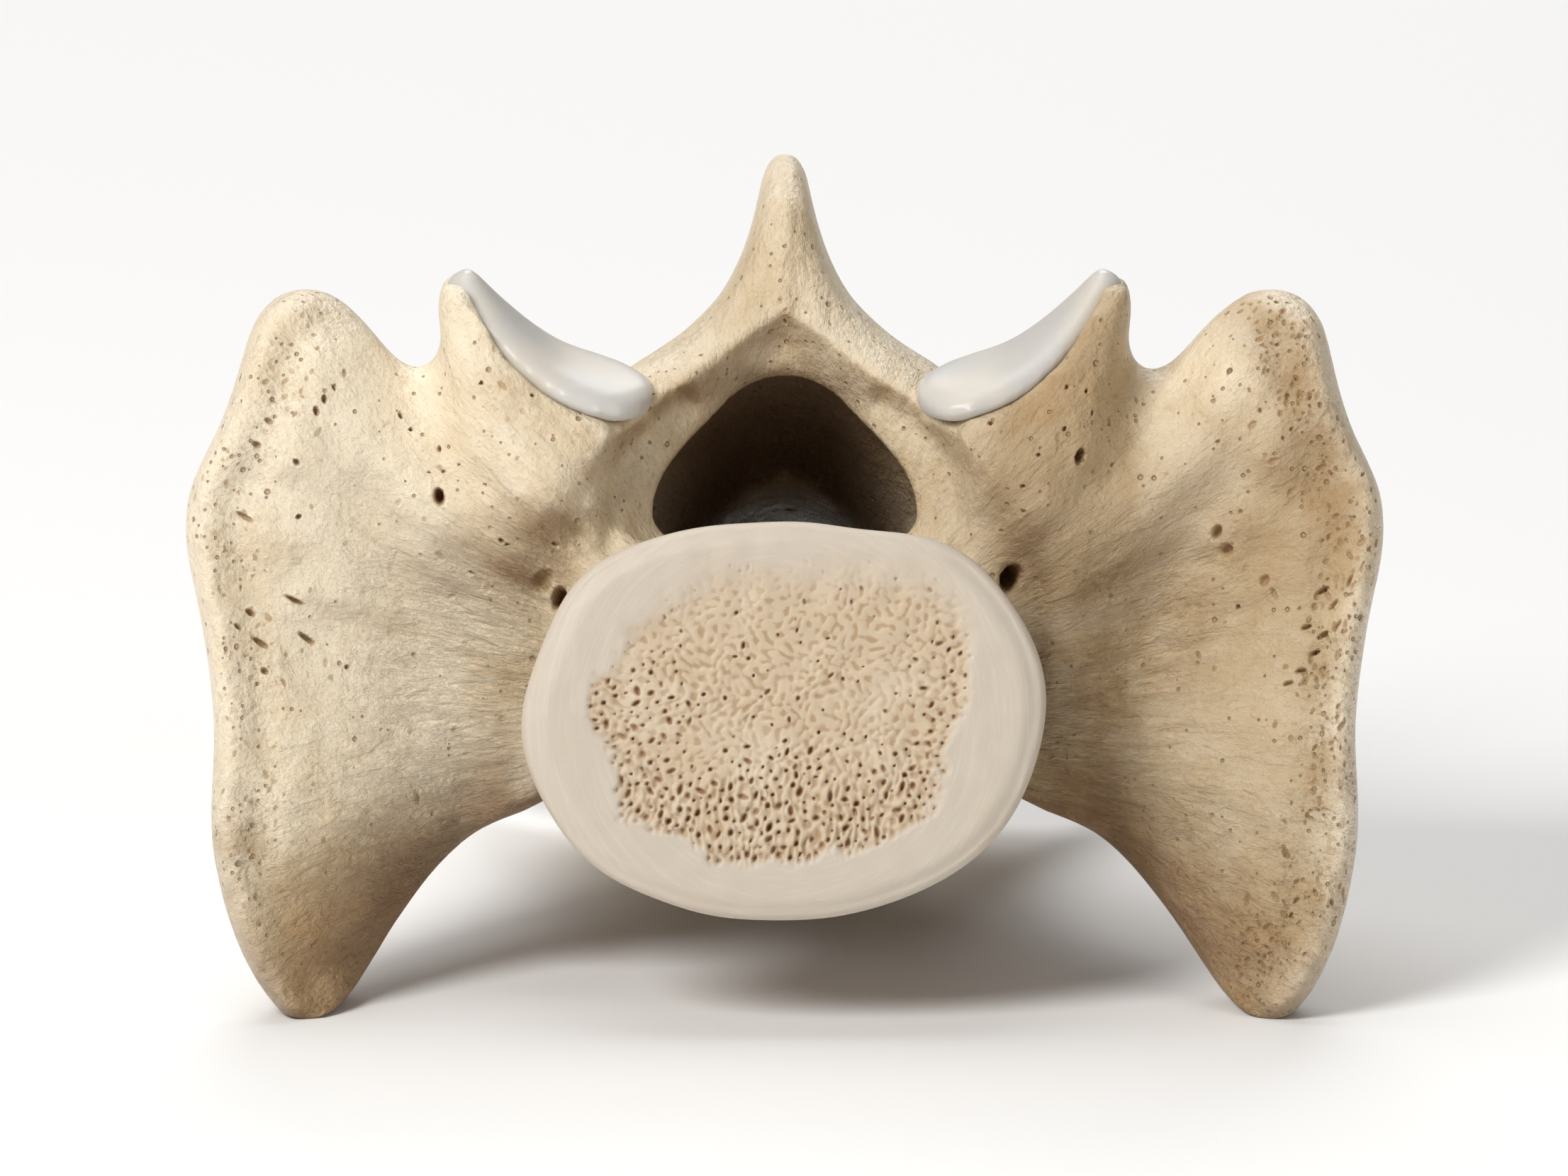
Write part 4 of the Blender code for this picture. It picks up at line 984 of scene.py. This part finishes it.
def little_pores(scale, seed_shift, small, large):
    """Scattered round pores: near a cell's middle, in the share of the cells that the freckle note allows."""
    shifted = add(t, "VectorMath", {0: place, 1: (seed_shift, 0.0, 0.0)}, operation="ADD").outputs[0]
    cells = add(t, "TexVoronoi", {"Vector": shifted, "Scale": scale}, feature="F1").outputs
    pick = add(t, "SeparateColor", {"Color": cells["Color"]}).outputs
    size = calc(t, "MULTIPLY_ADD", pick["Green"], large - small, small)
    open_pore = between(t, calc(t, "DIVIDE", cells["Distance"], size), 1.15, 0.55)
    chosen = calc(t, "LESS_THAN", pick["Red"], attribute(t, "freckle"))
    return times(t, open_pore, chosen)


pores = calc(t, "MAXIMUM", little_pores(1.35, 3.0, 0.12, 0.24), little_pores(2.3, 9.0, 0.14, 0.26))
shade_and_stain, lit_and_worn = attribute(t, "painted_shade_and_stain"), attribute(t, "painted_light_and_wear")
colour = blend(t, between(t, clouds, 0.38, 0.66), IVORY, STRAW)
colour = blend(t, times(t, between(t, grain, 0.5, 0.74), 0.5), colour, CHALK)
colour = blend(t, times(t, between(t, blots, 0.52, 0.74), 0.42), colour, STRAW)
# Painted shade: the tint browns the colour towards olive where the note asks.
painted_shade_tint = times(t, attribute(t, "tint"), calc(t, "MULTIPLY_ADD", clouds, 0.5, 0.6))
colour = blend(t, painted_shade_tint, colour, SHADE_OLIVE)
# Painted shade, with some real stain: the stain note, mottled, browns the colour towards tan.
mottled_shade_and_stain = times(t, shade_and_stain, calc(t, "MULTIPLY_ADD", between(t, blots, 0.34, 0.66), 0.75, 0.45))
colour = blend(t, times(t, mottled_shade_and_stain, 0.78), colour, TAN)
wrinkles = attribute(t, "wrinkle")
# Painted shade: the grooves of the fine grain are darkened towards earth brown, more where the bone is wrinkled or
# painted in shade.
groove_shade_share = calc(t, "MULTIPLY_ADD", shade_and_stain, 0.7, calc(t, "MULTIPLY_ADD", wrinkles, 0.45, 0.15))
groove_shade = times(t, between(t, fine_grain, 0.44, 0.28), groove_shade_share)
colour = blend(t, times(t, groove_shade, 0.6), colour, SHADE_EARTH)
colour = blend(t, times(t, between(t, specks, 0.60, 0.72), 0.45), colour, TAN)
# Painted shade: faces that look down and the lower inner edges are darkened towards earth brown.
colour = blend(t, times(t, attribute(t, "painted_under_shade"), 0.85), colour, SHADE_EARTH)
# Painted light, with some wear: the rims and upper faces are lightened towards chalk.
colour = blend(t, times(t, lit_and_worn, 0.55), colour, CHALK)
# Painted shade: the small pores are painted dark brown inside.
colour = blend(t, times(t, pores, 0.72), colour, PORE_SHADE_BROWN)
# Painted shade: the troughs of the spongy relief are darkened towards tan.
sponge_trough_shade = times(t, attribute(t, "freckle"), between(t, specks, 0.50, 0.36))
colour = blend(t, times(t, sponge_trough_shade, 0.6), colour, TAN)
# Painted shade: each hole is darkened towards tan round its edge and towards dark brown inside.
hole = attribute(t, "hole")
colour = blend(t, times(t, between(t, hole, 0.0, 0.45), 0.7), colour, TAN)
colour = blend(t, between(t, hole, 0.45, 1.0), colour, HOLE_SHADE_BROWN)
# Painted shade: the inside of the tunnel is darkened towards umber.
colour = blend(t, times(t, attribute(t, "tunnel"), 0.80), colour, TUNNEL_SHADE_UMBER)
wrinkled = calc(t, "MULTIPLY_ADD", wrinkles, 1.1, 0.45)
relief = times(t, calc(t, "MULTIPLY_ADD", fine_grain, 0.45, grain), wrinkled)
relief = calc(t, "MULTIPLY_ADD", blots, 0.75, relief)
relief = calc(t, "MULTIPLY_ADD", specks, 0.14, relief)
relief = calc(t, "MULTIPLY_ADD", crumbs, 0.05, relief)
relief = calc(t, "MULTIPLY_ADD", pores, -0.35, relief)
spongy = times(t, attribute(t, "freckle"), specks)
relief = calc(t, "MULTIPLY_ADD", spongy, 0.55, relief)
roughness = calc(t, "MULTIPLY_ADD", grain, 0.20, calc(t, "MULTIPLY_ADD", shade_and_stain, 0.10, 0.28))
BONE_LIGHT = {
    "Specular IOR Level": 0.40,
    "Subsurface Weight": 0.15,
    "Subsurface Radius": (1.0, 0.55, 0.3),
    "Subsurface Scale": 1.0 * MM,
}
finish_material(t, BONE_LIGHT, colour, roughness, height=relief, strength=1.0, distance=0.55 * MM)
skin.data.materials.clear()
skin.data.materials.append(bone)
print("bone finish nodes:", len(t.nodes))

# %% [markdown]
# ## The plate and the cartilage
# The plate's ring is paler and cooler than the bone and finely brushed, and painted shade darkens the valleys
# between its worms and the inside of its pores. The cartilage is milky and lets light in, so it takes more
# subsurface scattering and a smoother surface.

# %% Build the plate's finish
PEARL = (0.575, 0.505, 0.42, 1.0)
BISCUIT = (0.58, 0.46, 0.325, 1.0)
RING_PALE, RING_WARM = (0.665, 0.60, 0.525, 1.0), (0.58, 0.475, 0.36, 1.0)
FIELD_VALLEY_SHADE, FIELD_PALE = (0.44, 0.305, 0.18, 1.0), (0.70, 0.60, 0.465, 1.0)
PORE_EDGE_SHADE, PORE_FLOOR_SHADE = (0.33, 0.19, 0.10, 1.0), (0.32, 0.165, 0.080, 1.0)
plate_finish = new_material("porous_plate")
t = plate_finish.node_tree
place, x, y, z = bone_space(t)
round_plate, from_centre = round_middle(t, x, z)
rings = {"X": times(t, round_plate, 2.0), "Y": times(t, from_centre, 3.2), "Z": y}
brush_space = add(t, "CombineXYZ", rings).outputs[0]
brushed = noise(t, brush_space, 1.6, 5.0, 0.65, 0.6)
mottle = noise(t, place, 0.35, 5.0, 0.6)
grit = noise(t, place, 4.5, 3.0, 0.6)
field_share = attribute(t, "field")
pore = attribute(t, "hole")
ridge = attribute(t, "worm")
ring_colour = blend(t, times(t, between(t, brushed, 0.45, 0.75), 0.5), PEARL, RING_PALE)
ring_colour = blend(t, times(t, between(t, mottle, 0.5, 0.72), 0.35), ring_colour, RING_WARM)
# Painted shade: the valleys between the worms are darkened.
field_colour = blend(t, between(t, ridge, -0.95, -0.05), FIELD_VALLEY_SHADE, BISCUIT)
field_colour = blend(t, times(t, between(t, mottle, 0.45, 0.7), 0.4), field_colour, FIELD_PALE)
colour = blend(t, field_share, ring_colour, field_colour)
# Painted shade: the pores are darkened round their edge and inside.
colour = blend(t, times(t, between(t, pore, 0.05, 0.5), 0.6), colour, PORE_EDGE_SHADE)
colour = blend(t, between(t, pore, 0.45, 0.9), colour, PORE_FLOOR_SHADE)
roughness = calc(t, "ADD", 0.42, times(t, mottle, 0.2))
relief = calc(t, "ADD", times(t, brushed, 0.7), times(t, grit, 0.35))
PLATE_LIGHT = {
    "Specular IOR Level": 0.38,
    "Subsurface Weight": 0.12,
    "Subsurface Radius": (1.0, 0.65, 0.45),
    "Subsurface Scale": 1.0 * MM,
}
finish_material(t, PLATE_LIGHT, colour, roughness, height=relief, strength=0.4, distance=0.08 * MM)
plate.data.materials.append(plate_finish)
print("plate finish nodes:", len(t.nodes))

# %% Build the cartilage's finish
MILK, CREAM = (0.56, 0.545, 0.52, 1.0), (0.60, 0.56, 0.50, 1.0)
milky = new_material("cartilage")
t = milky.node_tree
veil = noise(t, bone_space(t)[0], 0.22, 3.0, 0.5)
colour = blend(t, between(t, veil, 0.40, 0.60), MILK, CREAM)
roughness = calc(t, "ADD", 0.34, times(t, veil, 0.14))
CARTILAGE_LIGHT = {
    "Specular IOR Level": 0.5,
    "Subsurface Weight": 0.5,
    "Subsurface Radius": (1.0, 0.85, 0.7),
    "Subsurface Scale": 1.5 * MM,
    "Coat Weight": 0.1,
    "Coat Roughness": 0.25,
}
finish_material(t, CARTILAGE_LIGHT, colour, roughness, height=veil, strength=0.1, distance=0.1 * MM)
for cover in cartilage:
    cover.data.materials.clear()
    cover.data.materials.append(milky)
print("cartilage finish nodes:", len(t.nodes))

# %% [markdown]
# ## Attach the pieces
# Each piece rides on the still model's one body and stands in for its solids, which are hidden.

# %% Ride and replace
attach(skin, "root")
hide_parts(*BONE_NODES)
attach(plate, "root")
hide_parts(PLATE)
for cover, node in zip(cartilage, FACETS):
    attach(cover, "root")
    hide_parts(node)

# %% [markdown]
# ## Floor, light and camera
# The bone lies on a plain white table. A large soft light stands to the upper left of the camera, a weaker one
# fills from the right, and two more shine from above and from behind. The camera looks along the spine through a
# long lens, as a catalogue photo would. Each light stands in a direction from the bone, at a distance in metres.

# %% Set the stage
scene = bpy.context.scene
scene.view_settings.view_transform = "Standard"
floor_build = bmesh.new()
bmesh.ops.create_grid(floor_build, x_segments=1, y_segments=1, size=3.0)
floor_mesh = bpy.data.meshes.new("floor")
floor_build.to_mesh(floor_mesh)
floor_build.free()
floor = bpy.data.objects.new("floor", floor_mesh)
scene.collection.objects.link(floor)
floor_finish = bpy.data.materials.new("white_table")
floor_finish.use_nodes = True
floor_shader = floor_finish.node_tree.nodes["Principled BSDF"]
floor_shader.inputs["Base Color"].default_value = (0.9, 0.9, 0.9, 1.0)
floor_shader.inputs["Roughness"].default_value = 0.9
floor_mesh.materials.append(floor_finish)
floor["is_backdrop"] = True
world = bpy.data.worlds.new("studio")
world.use_nodes = True
sky = world.node_tree.nodes["Background"]
sky.inputs["Color"].default_value = (1.0, 0.965, 0.91, 1.0)
sky.inputs["Strength"].default_value = 0.12
scene.world = world
CENTRE = Vector((0.0, 0.0, 0.018))


def soft_light(name, direction, distance, size, power, tint=(1.0, 1.0, 1.0)):
    lamp = bpy.data.lights.new(name, "AREA")
    lamp.shape = "DISK"
    lamp.size, lamp.energy, lamp.color = size, power, tint
    stand = bpy.data.objects.new(name, lamp)
    way = Vector(direction).normalized()
    stand.location = CENTRE + way * distance
    stand.rotation_mode = "QUATERNION"
    stand.rotation_quaternion = way.to_track_quat("Z", "Y")
    scene.collection.objects.link(stand)
    return stand


soft_light("key", (-0.8, -1.0, 1.0), distance=0.50, size=0.20, power=1.95, tint=(1.0, 0.985, 0.96))
soft_light("fill", (1.0, -0.9, 0.5), distance=0.6, size=0.3, power=0.52)
soft_light("top", (-0.15, 0.25, 1.0), distance=1.0, size=0.8, power=4.0)
soft_light("back", (0.1, 1.0, 0.8), distance=0.8, size=0.5, power=2.2)
lens = bpy.data.cameras.new("camera")
lens.sensor_width = 36.0
DISTANCE = 2.0
MM_PER_PIXEL, WIDTH = 0.03546, 2212
lens.lens = lens.sensor_width * DISTANCE / (WIDTH * MM_PER_PIXEL * MM)
lens.clip_start, lens.clip_end = 0.05, 20.0
camera = bpy.data.objects.new("camera", lens)
scene.collection.objects.link(camera)
aim = Vector(to_scene([(-0.035, 4.0, 6.65)])[0])
camera.location = aim - FORWARD * DISTANCE
camera.rotation_mode = "QUATERNION"
camera.rotation_quaternion = FORWARD.to_track_quat("-Z", "Y")
scene.camera = camera
print("lens in mm:", round(lens.lens))

# %% Note the sizes
low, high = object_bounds()
in_mm = {"solids": (*cad_low, *cad_high), "dressed": (*low, *high)}
print("boxes in mm:", {name: [round(s * 1000, 2) for s in corners] for name, corners in in_mm.items()})
